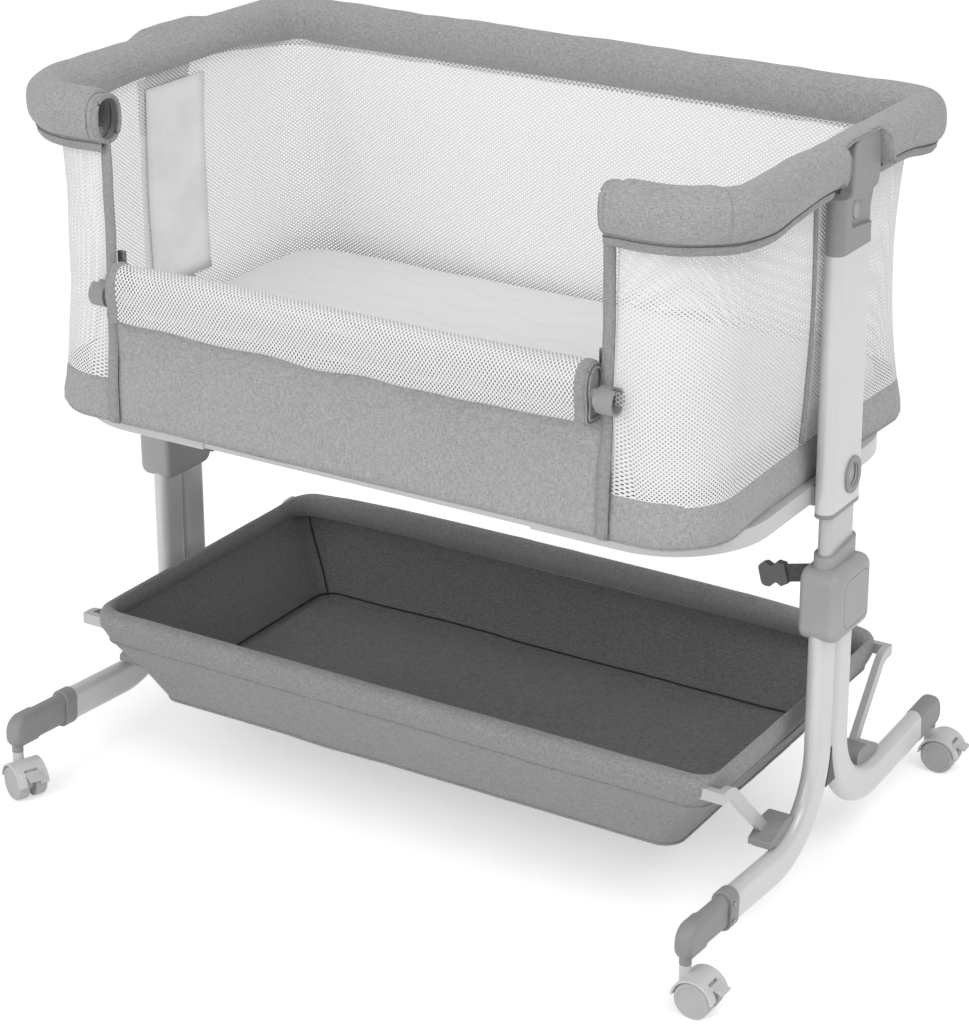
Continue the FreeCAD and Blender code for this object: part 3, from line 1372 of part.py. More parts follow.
def basket_fabric():
    """The basket: tapering walls with a rounded floor, and a hem with a channel for each rod."""
    rim_x, front, back, corner = (
        value(name) for name in ("basket_rim_x", "basket_front_y", "basket_back_y", "basket_corner")
    )
    wall, hem, height = value("basket_wall"), value("hem_depth"), value("hem_height")
    top_z, drop = value("basket_rim_z"), value("basket_height")
    in_x, in_y = value("basket_inset_x"), value("basket_inset_y")

    def level(share, inset, z):
        turn = max(corner + 30 * share - inset, 4)
        return tray(rim_x - in_x * share - inset, front + in_y * share + inset, back - in_y * share - inset, turn, z)

    def bag(inset, lift, extra):
        levels = [
            level(0, inset, top_z + extra),
            level(0.35, inset, top_z - drop * 0.45),
            level(0.8, inset, top_z - drop + 14 + lift),
            level(1.3, inset, top_z - drop + lift),
        ]
        return Part.makeLoft(levels, True, True)

    shell = bag(0, 0, 0).cut(bag(wall, wall, 0.01))
    ring = Part.Face(level(0, 0, top_z - height)).extrude(Vector(0, 0, height))
    ring = ring.cut(Part.Face(level(0, hem, top_z - height - 1)).extrude(Vector(0, 0, height + 2)))
    shape = shell.fuse(ring)
    gap = value("fit_gap")
    across, upright = value("rod_width") + 2 * gap, value("rod_height") + 2 * gap
    for y in (value(ROD_FRONT_Y), value(ROD_BACK_Y)):
        low_corner = Vector(-rim_x - 5, y - across / 2, value(ROD_Z) - upright / 2)
        shape = shape.cut(Part.makeBox(2 * rim_x + 10, across, upright, low_corner))
    return solid_feature("basket_fabric", shape.removeSplitter())


def basket_rod(y):
    """A long rod in the hem."""
    size = (f"{y} - rod_width / 2", f"{y} + rod_width / 2", f"{ROD_Z} - rod_height / 2", f"{ROD_Z} + rod_height / 2")
    return box("-(rod_end_x)", "rod_end_x", *size)


FRONT_FOOT = "(pair_y - front_arm_reach)"
REAR_FOOT = "(pair_y + rear_arm_reach)"


def basket_arm(side, rod_y, foot_y):
    """A flat bar on a long rod's end that bends down and stands in its cleat; side is -1 or 1 in Y."""
    body = new_body("basket_arm")
    top, low = f"{ROD_Z} + rod_height / 2", f"{ROD_Z} - rod_height / 2"
    start = f"{rod_y} + {side} * rod_width / 2"
    corners = [
        (start, top),
        (f"{rod_y} - {side} * arm_elbow", top, "arm_turn"),
        (f"{foot_y} - {side} * 5", "arm_foot_z + 4"),
        (f"{foot_y} + {side} * 5", "arm_foot_z - 4"),
        (f"{rod_y} - {side} * (arm_elbow - 6)", low, "arm_turn - rod_height"),
        (start, low),
    ]
    pad(body, "YZ_Plane", "rod_end_x", "rod_end_x + rod_width", lambda sketch: outline(sketch, corners))
    return body


def basket_cleat(side, foot_y, arm, tube):
    """The cleat in the inner bend of a leg, with a pocket for the arm's foot; side is -1 or 1 in Y."""
    body = new_body("cleat")
    outer, inner = f"{foot_y} + {side} * cleat_outward", f"{foot_y} - {side} * cleat_back"
    corners = [
        (f"{outer} - {side} * 10", "cleat_bottom_z"),
        (inner, "cleat_bottom_z"),
        (inner, "cleat_top_z", "8"),
        (f"{foot_y} - {side} * 4", "cleat_top_z", "9"),
        (outer, "arm_foot_z + 2", "3"),
        (outer, "arm_foot_z - 5"),
        (f"{outer} - {side} * 10", "arm_foot_z - 5"),
    ]
    ends = ("arm_foot_x - rod_width / 2 - cleat_wall", "leg_half_span")
    pad(body, "YZ_Plane", *ends, lambda sketch: outline(sketch, corners))
    return cut(body, group(arm), group(tube))


# ---------------------------------------------------------------- anchor straps


def on_hub(body):
    """Puts a body that was drawn about the strap's exit, with inwards as -X, on the hub's inner face."""
    body.Placement = Placement(Vector(), Rotation(Vector(0, 1, 0), -value("strap_droop")))
    return placed(body, "hub_inner_x", "strap_y", "strap_z")


def anchor_strap():
    """The webbing that leaves the inner face of the hub."""
    body = new_body("strap")
    half = "strap_thickness / 2"
    low, high = "-strap_width / 2", "strap_width / 2"
    pad(body, "XZ_Plane", f"-{half}", half, lambda sketch: rectangle(sketch, "-strap_length", "5", low, high))
    hub_side = box("hub_inner_x", "hub_outer_x", "hub_front_y", "hub_rear_y", "hub_bottom_z", "hub_top_z + 5")
    return cut(on_hub(body), hub_side)


def anchor_buckle():
    """The half of a side release buckle sewn to the webbing, waisted between its two wide ends."""
    body = new_body("buckle")
    half = "buckle_thickness / 2"
    start = "-strap_length - 0.1"
    wide = "buckle_width / 2"
    shape = [
        (start, f"-({wide}) + 3"),
        (start, f"{wide} - 3"),
        (f"{start} - 9", wide, "3"),
        (f"{start} - 15", f"{wide} - 6", "4"),
        (f"{start} - 22", wide, "4"),
        (f"{start} - buckle_length", f"{wide} - 2", "6"),
        (f"{start} - buckle_length", f"2 - ({wide})", "6"),
        (f"{start} - 22", f"-({wide})", "4"),
        (f"{start} - 15", f"6 - ({wide})", "4"),
        (f"{start} - 9", f"-({wide})", "3"),
    ]
    pad(body, "XZ_Plane", f"-{half}", half, lambda sketch: outline(sketch, shape))
    return on_hub(body)


def screws():
    """The screw heads that show: one on the inner face of each hub, two on each foot collar."""
    ends = ("hub_inner_x - screw_rise", "hub_inner_x")
    heads = [cylinder("screw_radius", *ends, y="hub_rear_y - 20", z="hub_bottom_z + 40", axis="x")]
    tube_end = "front_caster_y - front_reach"
    face = "tube_width / 2 + foot_collar_wall"
    for height in ("-tube_depth / 4", "tube_depth / 4"):
        body = new_body("screw")
        pad(
            body,
            "YZ_Plane",
            face,
            f"{face} + screw_rise",
            lambda sketch: disc(sketch, f"{tube_end} - foot_collar_ahead / 2", height, "screw_radius - 0.6"),
        )
        heads.append(on_run(body, -1, "front_caster_y"))
    return group(*heads)


# ---------------------------------------------------------------- assembly

front_leg, rear_leg = leg(-1, "front_reach"), leg(1, "rear_reach")
pair_nodes("leg_front", front_leg)
pair_nodes("leg_rear", rear_leg)
node("leg_gussets", both(gusset()))
pair_nodes("hub_shell_inner", hub_inner())
pair_nodes("hub_shell_outer", hub_outer())
pair_nodes("inner_post", flat_tube("post", "post_width", "post_depth", "post_wall", "post_bottom_z", "post_top_z"))
node("foot_collars", both(foot_collar()))
pair_nodes("foot_extension", foot_extension())
node("rear_feet", both(rear_foot()))
casters()

pair_nodes("upper_tube", upper_tube())
node("guide_bushes", both(guide_bush()))
node("window_bezels", both(window_bezel()))
pair_nodes("top_fitting", top_fitting())
pair_nodes("release_button", release_button())

node("rail_tube", rail_tube())
node("rail_sockets", both(rail_socket()))
node("rail_cover", rail_cover())
node("drop_rail_tube", drop_rail_tube())
node("drop_rail_cups", both(drop_rail_cup()))
node("drop_mesh_roll", drop_mesh_roll())
node("zip_tapes", both(zip_tape()))
pair_nodes("zip_slider", zip_slider())

node("fabric_band", fabric_band())
node("mesh_walls", mesh_walls())
node("base_board", base_board())
node("mattress", mattress())
node("bed_support_ends", both(bed_support_end()))
node("bed_support_rails", group(bed_support_rail("support_front_y"), bed_support_rail("support_back_y")))
node("support_brackets", both(support_bracket()))

node("basket_fabric", basket_fabric())
node("basket_rods", group(basket_rod(ROD_FRONT_Y), basket_rod(ROD_BACK_Y)))
front_arm, rear_arm = basket_arm(-1, ROD_FRONT_Y, FRONT_FOOT), basket_arm(1, ROD_BACK_Y, REAR_FOOT)
node("basket_arms", both(group(front_arm, rear_arm)))
front_cleat = basket_cleat(-1, FRONT_FOOT, front_arm, front_leg)
rear_cleat = basket_cleat(1, REAR_FOOT, rear_arm, rear_leg)
node("basket_cleats", both(group(front_cleat, rear_cleat)))

node("anchor_straps", both(anchor_strap()))
node("anchor_buckles", both(anchor_buckle()))
node("screws", both(screws()))

doc.recompute()
for obj in doc.Objects:
    if "Invalid" in obj.State or "Error" in obj.State:
        raise RuntimeError(f"{obj.Label} ({obj.Name}) failed: {obj.State}")

os.makedirs("parts", exist_ok=True)
for name, obj in NODES.items():
    if obj.Shape.isNull() or not obj.Shape.isValid() or not obj.Shape.Solids:
        raise RuntimeError(f"{name} has no valid solid")
    obj.Shape.exportStep(f"parts/{name}.step")
print(len(NODES), "nodes")
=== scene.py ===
"""The looks of the bedside crib: soft goods, finishes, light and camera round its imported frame.

Metres. +X runs to the crib's right end, +Y to its back, +Z up; the drop side faces -Y.
"""

import json
import math

import bmesh
import bpy
from mathutils import Matrix, Vector, noise


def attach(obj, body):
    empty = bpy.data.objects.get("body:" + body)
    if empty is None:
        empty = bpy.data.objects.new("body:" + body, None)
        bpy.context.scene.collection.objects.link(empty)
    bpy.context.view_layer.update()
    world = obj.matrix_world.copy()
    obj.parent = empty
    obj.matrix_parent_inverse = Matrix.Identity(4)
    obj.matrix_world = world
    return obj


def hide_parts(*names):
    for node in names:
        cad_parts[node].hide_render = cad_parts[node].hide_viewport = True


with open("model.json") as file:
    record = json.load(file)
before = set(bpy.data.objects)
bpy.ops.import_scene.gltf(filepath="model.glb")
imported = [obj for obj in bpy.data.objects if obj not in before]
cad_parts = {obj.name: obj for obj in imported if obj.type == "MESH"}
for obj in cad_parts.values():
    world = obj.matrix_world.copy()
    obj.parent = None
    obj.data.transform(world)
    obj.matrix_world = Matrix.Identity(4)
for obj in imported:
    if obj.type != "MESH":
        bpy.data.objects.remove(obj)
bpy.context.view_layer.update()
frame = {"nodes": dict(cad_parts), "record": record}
nodes = frame["nodes"]


# ---------------------------------------------------------------- finishes


def grey(level):
    """A linear colour for a grey of 0 to 255 on screen."""
    share = level / 255
    linear = share / 12.92 if share <= 0.04045 else ((share + 0.055) / 1.055) ** 2.4
    return (linear, linear, linear, 1)


class Signal:
    """A number in a material that can be written in plain arithmetic."""

    def __init__(self, paint, socket):
        self.paint, self.socket = paint, socket

    def __add__(self, other):
        return self.paint.maths("ADD", self, other)

    def __rsub__(self, other):
        return self.paint.maths("SUBTRACT", other, self)

    def __mul__(self, other):
        return self.paint.maths("MULTIPLY", self, other)


class Paint:
    """A material whose shader is fed by nodes."""

    def __init__(self, name, colour=(0.8, 0.8, 0.8, 1), **shader):
        self.material = bpy.data.materials.new(name)
        self.material.use_nodes = True
        self.tree = self.material.node_tree
        self.shader = self.tree.nodes["Principled BSDF"]
        self.places = self.tree.nodes.new("ShaderNodeTexCoord")
        self.feed(self.shader, {"Base Color": colour})
        self.feed(self.shader, {name.replace("_", " "): setting for name, setting in shader.items()})

    def feed(self, node, inputs):
        for name, source in inputs.items():
            socket = node.inputs[name]
            if isinstance(source, Signal):
                source = source.socket
            if isinstance(source, bpy.types.NodeSocket):
                self.tree.links.new(source, socket)
            else:
                socket.default_value = source

    def node(self, kind, settings=None, inputs=None):
        made = self.tree.nodes.new(kind)
        for name, setting in (settings or {}).items():
            setattr(made, name, setting)
        self.feed(made, inputs or {})
        return made

    def maths(self, operation, first, second=0.0):
        """One step of arithmetic."""
        made = self.node("ShaderNodeMath", {"operation": operation}, {0: first, 1: second})
        return Signal(self, made.outputs[0])

    def noise(self, scale, detail=2.0, stretch=(1, 1, 1)):
        """Noise fixed to the object, its coordinates scaled by stretch first."""
        inputs = {"Vector": self.places.outputs["Object"], "Scale": stretch}
        spread = self.node("ShaderNodeMapping", None, inputs).outputs[0]
        inputs = {"Vector": spread, "Scale": scale, "Detail": detail}
        return Signal(self, self.node("ShaderNodeTexNoise", None, inputs).outputs[0])

    def step(self, signal, low, high, start=0.0, end=1.0):
        """From start to end, smoothly, while the signal goes from low to high."""
        settings = {"interpolation_type": "SMOOTHSTEP"}
        inputs = {"Value": signal, "From Min": low, "From Max": high, "To Min": start, "To Max": end}
        return Signal(self, self.node("ShaderNodeMapRange", settings, inputs).outputs[0])

    def tint(self, share, dark, light):
        """The base colour, from dark to light by a share."""
        made = self.node("ShaderNodeMix", {"data_type": "RGBA"}, {0: share, 6: dark, 7: light})
        self.feed(self.shader, {"Base Color": made.outputs[2]})

    def relief(self, height, depth, strength):
        """Bumps of a depth in metres."""
        inputs = {"Height": height, "Distance": depth, "Strength": strength}
        bump = self.node("ShaderNodeBump", None, inputs)
        self.feed(self.shader, {"Normal": bump.outputs[0]})


YARN_SCALE = 1050


def heather(name, dark, light, relief=0.0005):
    """A melange cloth: light and dark yarns in short streaks, with a plain weave's relief."""
    paint = Paint(name, Roughness=0.92)
    paint.feed(paint.shader, {"Sheen Weight": 0.25, "Sheen Roughness": 0.6, "Specular IOR Level": 0.2})
    weft = paint.noise(YARN_SCALE, 2, (0.20, 0.20, 1.0))
    warp = paint.noise(YARN_SCALE, 2, (1.0, 1.0, 0.18))
    cloud = paint.noise(14, 2)
    speck = paint.noise(700, 2)
    share = paint.step(weft * 0.4 + warp * 0.4 + speck * 0.2, 0.34, 0.66) * 0.85 + cloud * 0.15
    paint.tint(share, grey(dark), grey(light))
    paint.relief(weft + warp + speck, relief, 0.55)
    return paint.material


NET_PITCH = (0.0062, 0.0046)
HOLE_EDGE = 0.12


def net(name, level, hole, backed=0.0):
    """Spacer net: round holes in staggered rows, on the piece's own unrolled map.

    A larger hole value leaves smaller holes; backed is how much cloth shows through them, painted 70 levels
    darker as shade.
    """
    paint = Paint(name, grey(level), Roughness=0.85)
    paint.feed(paint.shader, {"Sheen Weight": 0.2, "Specular IOR Level": 0.25})
    split = paint.node("ShaderNodeSeparateXYZ", None, {0: paint.places.outputs["UV"]})
    across = Signal(paint, split.outputs[0]) * (2 * math.pi / NET_PITCH[0])
    upright = Signal(paint, split.outputs[1]) * (2 * math.pi / NET_PITCH[1])
    waves = paint.maths("COSINE", across) * paint.maths("COSINE", upright)
    solid = 1 - paint.step(waves, hole - HOLE_EDGE, hole + HOLE_EDGE)
    # The holes and their soft rims take a colour 70 levels darker: painted shade inside the holes.
    paint.tint(solid, grey(level - 70), grey(level))
    paint.feed(paint.shader, {"Alpha": solid * (1 - backed) + backed})
    paint.relief(solid, 0.0008, 0.6)
    return paint.material


def moulded(name, level, roughness=0.48, grain=0.00012):
    """Moulded plastic with a fine spark-eroded grain and faint handling marks."""
    paint = Paint(name)
    paint.feed(paint.shader, {"Specular IOR Level": 0.45})
    grains, wear = paint.noise(1600, 2), paint.noise(23, 4)
    paint.tint(paint.step(wear, 0.3, 0.7), grey(level - 5), grey(level + 4))
    paint.feed(paint.shader, {"Roughness": paint.step(wear, 0.25, 0.75, roughness - 0.06, roughness + 0.08)})
    paint.relief(grains, grain, 0.35)
    return paint.material


def painted(name, level, roughness=0.34, metallic=0.15):
    """Powder-coated tube: silver grey, with a slight orange peel."""
    paint = Paint(name, Metallic=metallic)
    paint.feed(paint.shader, {"Coat Weight": 0.25, "Coat Roughness": 0.2})
    peel, cloud = paint.noise(700, 2), paint.noise(9, 3)
    paint.tint(paint.step(cloud, 0.3, 0.7), grey(level - 4), grey(level + 3))
    paint.feed(paint.shader, {"Roughness": paint.step(cloud, 0.25, 0.75, roughness - 0.05, roughness + 0.07)})
    paint.relief(peel, 0.00015, 0.3)
    return paint.material


WAVE_DEPTH, WAVE_TURNS, ROW_TURNS = 0.011, 62.0, 58.0


def quilted(name):
    """The mattress cover: smooth white jersey with faint stitched waves."""
    paint = Paint(name, Roughness=0.9)
    paint.feed(paint.shader, {"Sheen Weight": 0.3})
    yarn, cloud = paint.noise(900, 2), paint.noise(11, 2)
    split = paint.node("ShaderNodeSeparateXYZ", None, {0: paint.places.outputs["Object"]})
    across, along = Signal(paint, split.outputs[0]), Signal(paint, split.outputs[1])
    bend = paint.maths("SINE", across * WAVE_TURNS) * WAVE_DEPTH
    rows = paint.maths("ABSOLUTE", paint.maths("SINE", (along + bend) * ROW_TURNS))
    valley = paint.step(rows, 0.0, 0.35)
    # The stitched valleys are painted a few levels darker, as painted shade in the creases, mixed with a
    # random cloud of tone.
    paint.tint(valley * 0.5 + cloud * 0.5, grey(232), grey(240))
    paint.relief(valley * 0.85 + yarn * 0.1, 0.0012, 0.4)
    return paint.material


def webbing(name, level):
    """Woven strap: ribs along its length and a fine twill."""
    paint = Paint(name, Roughness=0.85)
    twill = paint.noise(1300, 2, (0.3, 1.0, 1.0))
    paint.tint(paint.step(twill, 0.35, 0.65), grey(level - 14), grey(level + 14))
    paint.relief(twill, 0.0006, 0.6)
    return paint.material


def plywood(name):
    """Birch board: long soft grain."""
    paint = Paint(name, Roughness=0.6)
    grain = paint.noise(30, 5, (0.15, 2.2, 1.0))
    paint.tint(paint.step(grain, 0.3, 0.7), (0.42, 0.30, 0.18, 1), (0.62, 0.48, 0.31, 1))
    paint.relief(grain, 0.0003, 0.4)
    return paint.material


RAIL_CLOTH = heather("heather_grey", 138, 184)
BAND_CLOTH = heather("heather_band", 142, 188)
BINDING = heather("binding_tape", 132, 170, 0.0003)
BASKET_OUT = heather("basket_outside", 126, 166)
# The inside cloth is a darker copy of the basket cloth: painted shade under the bed.
BASKET_IN_PAINTED_SHADE = heather("basket_inside_painted_shade", 90, 132)
SEAM = moulded("seam_thread", 92, 0.8)
BASKET_SEAM = moulded("basket_seam_thread", 52, 0.9)
WALL_NET = net("wall_net", 240, hole=0.42)
ROLL_NET = net("roll_net", 240, hole=0.22, backed=0.25)
QUILT = quilted("quilted_jersey")
PANEL_CLOTH = moulded("bare_label_cloth", 243, 0.9)

FINISHES = {
    "tube_paint": painted("silver_paint", 216),
    "rod_steel": painted("rod_paint", 196),
    "gusset_grey": moulded("web_plastic", 84),
    "hub_grey": moulded("hub_plastic", 172),
    "cap_grey": moulded("cap_plastic", 150),
    "moulded_grey": moulded("fitting_plastic", 152),
    "caster_shell": moulded("caster_shell", 212, 0.32),
    "caster_tread": moulded("caster_tread", 188, 0.55),
    "brake_plastic": moulded("brake_plastic", 204, 0.4),
    "rail_fabric": RAIL_CLOTH,
    "mesh_net": WALL_NET,
    "roll_net": ROLL_NET,
    "zip_tape": BINDING,
    "zip_metal": painted("zip_metal", 120, 0.3, 0.7),
    "mattress_cloth": QUILT,
    "bed_board": plywood("birch_board"),
    "frame_steel": painted("support_paint", 205, 0.4),
    "basket_cloth": BASKET_OUT,
    "webbing": webbing("strap_webbing", 92),
    "buckle_plastic": moulded("buckle_plastic", 104, 0.4),
    "screw_steel": painted("screw_steel", 150, 0.3, 0.9),
}

for entry in frame["record"]["subparts"]:
    mesh = nodes[entry["node"]].data
    mesh.materials.clear()
    mesh.materials.append(FINISHES[entry["material_slot"]])


# ---------------------------------------------------------------- mesh helpers

SIDES = ((1, "right"), (-1, "left"))


def smooth(share):
    """0 below 0, 1 above 1, smooth in between."""
    share = min(max(share, 0.0), 1.0)
    return share * share * (3 - 2 * share)


def between(value, low, high):
    """0 at low, 1 at high, smooth in between."""
    return smooth((value - low) / (high - low))


def steps(low, high, count):
    """The ends of count equal steps from low to high, both included."""
    return [low + (high - low) * n / count for n in range(count + 1)]


def cloth(name, rows, materials, closed=False, thickness=0.0, cap=False, body="bed", turned=False, pole=None):
    """A piece from rows of points; the map runs in metres along the rows and across them.

    cap closes the first and last row with a face each, pole the last row with a fan to that point.
    """
    shape = bmesh.new()
    layer = shape.loops.layers.uv.new("unrolled")
    grid = [[shape.verts.new(point) for point in row] for row in rows]
    count = len(rows[0])
    middle = rows[len(rows) // 2]
    along = [0.0]
    for n in range(count):
        along.append(along[-1] + (Vector(middle[(n + 1) % count]) - Vector(middle[n])).length)
    across = [0.0]
    for lower, upper in zip(rows, rows[1:]):
        across.append(across[-1] + (Vector(upper[count // 2]) - Vector(lower[count // 2])).length)
    for r in range(len(rows) - 1):
        for n in range(count if closed else count - 1):
            m = (n + 1) % count
            corners = [grid[r][n], grid[r][m], grid[r + 1][m], grid[r + 1][n]]
            places = [(along[n], across[r]), (along[n + 1], across[r])]
            places += [(along[n + 1], across[r + 1]), (along[n], across[r + 1])]
            if turned:
                corners.reverse()
                places.reverse()
            face = shape.faces.new(corners)
            face.smooth = True
            for loop, place in zip(face.loops, places):
                loop[layer].uv = place
    if cap:
        ends = [list(reversed(grid[0])), grid[-1]]
        for end in ends:
            shape.faces.new(list(reversed(end)) if turned else end)
    if pole:
        peak = shape.verts.new(pole)
        for n in range(count):
            corners = [grid[-1][n], grid[-1][(n + 1) % count], peak]
            if turned:
                corners.reverse()
            shape.faces.new(corners).smooth = True
    piece = bpy.data.objects.new(name, bpy.data.meshes.new(name))
    bpy.context.scene.collection.objects.link(piece)
    shape.to_mesh(piece.data)
    shape.free()
    for material in materials:
        piece.data.materials.append(material)
    if thickness:
        wall = piece.modifiers.new("wall", "SOLIDIFY")
        wall.thickness = thickness
        wall.offset = -1
        wall.use_even_offset = False
        if len(materials) > 1:
            wall.material_offset = 1
            wall.material_offset_rim = 0
        apply(piece)
    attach(piece, body)
    return piece


def apply(piece):
    """Applies a piece's modifiers."""
    bpy.ops.object.select_all(action="DESELECT")
    piece.select_set(True)
    bpy.context.view_layer.objects.active = piece
    for modifier in list(piece.modifiers):
        bpy.ops.object.modifier_apply(modifier=modifier.name)


def tube(name, points, radius, material, body="bed", sides=8, closed=False):
    """A round cord of cloth along points: piping, a hem or a line of stitches."""
    points = [Vector(point) for point in points]
    count = len(points)
    rows = []
    for n, point in enumerate(points):
        if closed:
            run = points[(n + 1) % count] - points[n - 1]
        else:
            run = points[min(n + 1, count - 1)] - points[max(n - 1, 0)]
        run.normalize()
        up = Vector((0, 0, 1)) if abs(run.z) < 0.8 else Vector((0, 1, 0))
        side = run.cross(up).normalized()
        up = side.cross(run)
        ring = []
        for k in range(sides):
            turn = 2 * math.pi * k / sides
            ring.append(point + side * math.cos(turn) * radius + up * math.sin(turn) * radius)
        rows.append(ring)
    if closed:
        rows.append(rows[0])
    piece = cloth(name, rows, [material], closed=True, cap=not closed, body=body)
    if closed:
        shape = bmesh.new()
        shape.from_mesh(piece.data)
        bmesh.ops.remove_doubles(shape, verts=shape.verts, dist=1e-6)
        bmesh.ops.recalc_face_normals(shape, faces=shape.faces)
        shape.to_mesh(piece.data)
        shape.free()
    return piece


def plan(x, front, back, front_turn, back_turn, door=None, end_bow=0.0, back_bow=0.0, detail=1):
    """A rounded outline seen from above, anticlockwise.

    It starts at the middle of the front, or at the door's right side to end at its left one.
    """
    half = []
    start = 0.0 if door is None else door
    corner, end, rear = 8 * detail, 24 * detail, 20 * detail
    for n in range(corner):
        half.append((start + (x - front_turn - start) * n / corner, front))
    for n in range(corner):
        turn = math.radians(90 * n / corner)
        half.append((x - front_turn * (1 - math.sin(turn)), front + front_turn * (1 - math.cos(turn))))
    low, high = front + front_turn, back - back_turn
    for n in range(end):
        share = n / end
        half.append((x - end_bow * 4 * share * (1 - share), low + (high - low) * share))
    for n in range(corner):
        turn = math.radians(90 * n / corner)
        half.append((x - back_turn * (1 - math.cos(turn)), high + back_turn * math.sin(turn)))
    for n in range(rear + 1):
        across = (x - back_turn) * (1 - n / rear)
        bow = back_bow * (1 - (across / (x - back_turn)) ** 2)
        half.append((across, back - bow))
    other = [(-px, py) for px, py in reversed(half[:-1])]
    if door is None:
        other = other[:-1]
    return half + other


def wrinkle(x, y, z, scale, depth):
    """Smooth noise up to a depth, the same on each run."""
    return noise.noise(Vector((x, y, z)) * scale) * depth


# ---------------------------------------------------------------- padded rail

RAIL_Z = 0.810
RAIL_END = 0.308
HEAD_FRONT, HEAD_REAR = -0.040, 0.076
ARCH_RISE = 0.007
FULLNESS_X, FULLNESS_Z = 0.82, 0.85
INNER_POINTS, OUTER_POINTS, FLAP_POINTS, INSIDE_POINTS = 16, 11, 6, 6
FLAP_EDGE = INNER_POINTS + OUTER_POINTS + FLAP_POINTS - 1


def rail_stations(detail=4):
    """The rail's line with its outward normal, from the right front end round to the left."""
    line = plan(0.438, -0.2435, 0.251, 0.084, 0.046, door=RAIL_END, detail=detail)
    stations = []
    for n, (x, y) in enumerate(line):
        ahead, behind = line[min(n + 1, len(line) - 1)], line[max(n - 1, 0)]
        run = Vector((ahead[0] - behind[0], ahead[1] - behind[1])).normalized()
        stations.append((x, y, run.y, -run.x))
    return stations


def rail_depths(nx):
    """How far the padding reaches inside and outside the tube's centre."""
    end = abs(nx)
    return 0.0195 + 0.0135 * end, 0.0195 - 0.0005 * end


def column_lift(y, end):
    """How much higher the padding's lower edge lies near a column."""
    near = between(y, -0.21, -0.05) * (1 - between(y, 0.12, 0.24)) * end
    return 0.012 * near


def rail_section(x, y, nx, ny, swell=0.0):
    """One section of the padded rail, from its inner lower edge over the top and back inside.

    Round a column's head the outer side stops at a lip above the head.
    """
    end = abs(nx)
    inner, outer = rail_depths(nx)
    inner, outer = inner + swell, outer + swell
    base = RAIL_Z - 0.0195 + column_lift(y, end)
    top = RAIL_Z + 0.0295 + swell
    middle, half = (top + base) / 2, (top - base) / 2
    arch = between(y, -0.040, 0.0) * (1 - between(y, 0.072, 0.115)) * end
    opened = between(y, HEAD_FRONT, HEAD_FRONT + 0.006)
    opened *= 1 - between(y, HEAD_REAR - 0.004, HEAD_REAR + 0.004)
    opened *= end
    rise = between(y, HEAD_FRONT + 0.004, HEAD_FRONT + 0.030)
    rise *= 1 - between(y, HEAD_REAR - 0.018, HEAD_REAR - 0.003)
    lip = base + (0.004 + 0.050 * rise) * opened
    lip = min(lip, top + arch * ARCH_RISE - 0.002)
    cut = (max(lip - arch * ARCH_RISE - middle, 0) / half) ** (1 / FULLNESS_Z)

    turns = [-105 - 165 * n / (INNER_POINTS - 1) for n in range(INNER_POINTS)]
    turns += [90 - 90 * n / OUTER_POINTS for n in range(1, OUTER_POINTS + 1)]
    shaped = []
    for turn in turns:
        c, s = math.cos(math.radians(turn)), math.sin(math.radians(turn))
        if c > 0 and opened and s < cut:
            s += (cut - s) * opened
            c = math.sqrt(max(1 - s * s, 0))
        reach = inner if c < 0 else outer
        across = reach * math.copysign(abs(c) ** FULLNESS_X, c)
        height = middle + half * math.copysign(abs(s) ** FULLNESS_Z, s)
        if c > -0.5:
            height += arch * ARCH_RISE * smooth((c + 0.5) / 1.0) * smooth(s + 0.2)
            across += arch * 0.005 * max(c, 0)
        shaped.append((across, height))

    side_x, side_z = shaped[-1]
    side_z = max(side_z, lip)
    shaped[-1] = (side_x, side_z)
    for n in range(1, FLAP_POINTS + 1):
        share = n / FLAP_POINTS
        turn = math.radians(-88 * share)
        low_x = outer * math.cos(turn) ** FULLNESS_X
        low_z = middle + half * math.copysign(abs(math.sin(turn)) ** FULLNESS_Z, -1)
        flap_x, flap_z = side_x + 0.001 * share, side_z + (lip - side_z) * share
        shaped.append((low_x * (1 - opened) + flap_x * opened, low_z * (1 - opened) + flap_z * opened))

    if opened > 0.02:
        roof = lip - 0.0005
        inside = [(side_x - 0.003, lip), (side_x - 0.004, roof), (side_x - 0.007, roof)]
        inside += [(-0.004, roof - 0.002), (-0.012, RAIL_Z + 0.012), (-0.0125, base)]
    else:
        inside = [(0.0005, base)] * INSIDE_POINTS
    low_x = 0.001 * (1 - opened)
    for inside_x, inside_z in inside:
        shaped.append((low_x + (inside_x - low_x) * opened, base + (inside_z - base) * opened))

    ring = []
    for across, height in shaped:
        px, py = x + nx * across, y + ny * across
        soft = wrinkle(px, py, height, 34, 0.0011) + wrinkle(px, py, height, 11, 0.0014)
        way = soft if across > 0 else -soft
        ring.append((px + nx * way, py + ny * way, height + soft * 0.6))
    return ring


def rail_padding():
    """The padded sleeve of the top rail, open round each column's head."""
    rows = [rail_section(*station) for station in rail_stations()]
    piece = cloth("padded_rail", rows, [RAIL_CLOTH], closed=True, thickness=0.0022, turned=True)
    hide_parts("rail_cover")
    for side, name in SIDES:
        edge = []
        for station in rail_stations():
            x, y, nx, ny = station
            if abs(nx) > 0.9 and HEAD_FRONT < y < HEAD_REAR and x > 0:
                px, py, pz = rail_section(*station)[FLAP_EDGE]
                edge.append((side * (px + 0.0006), py, pz))
        tube(f"head_binding_{name}", edge, 0.0013, BINDING, sides=6)


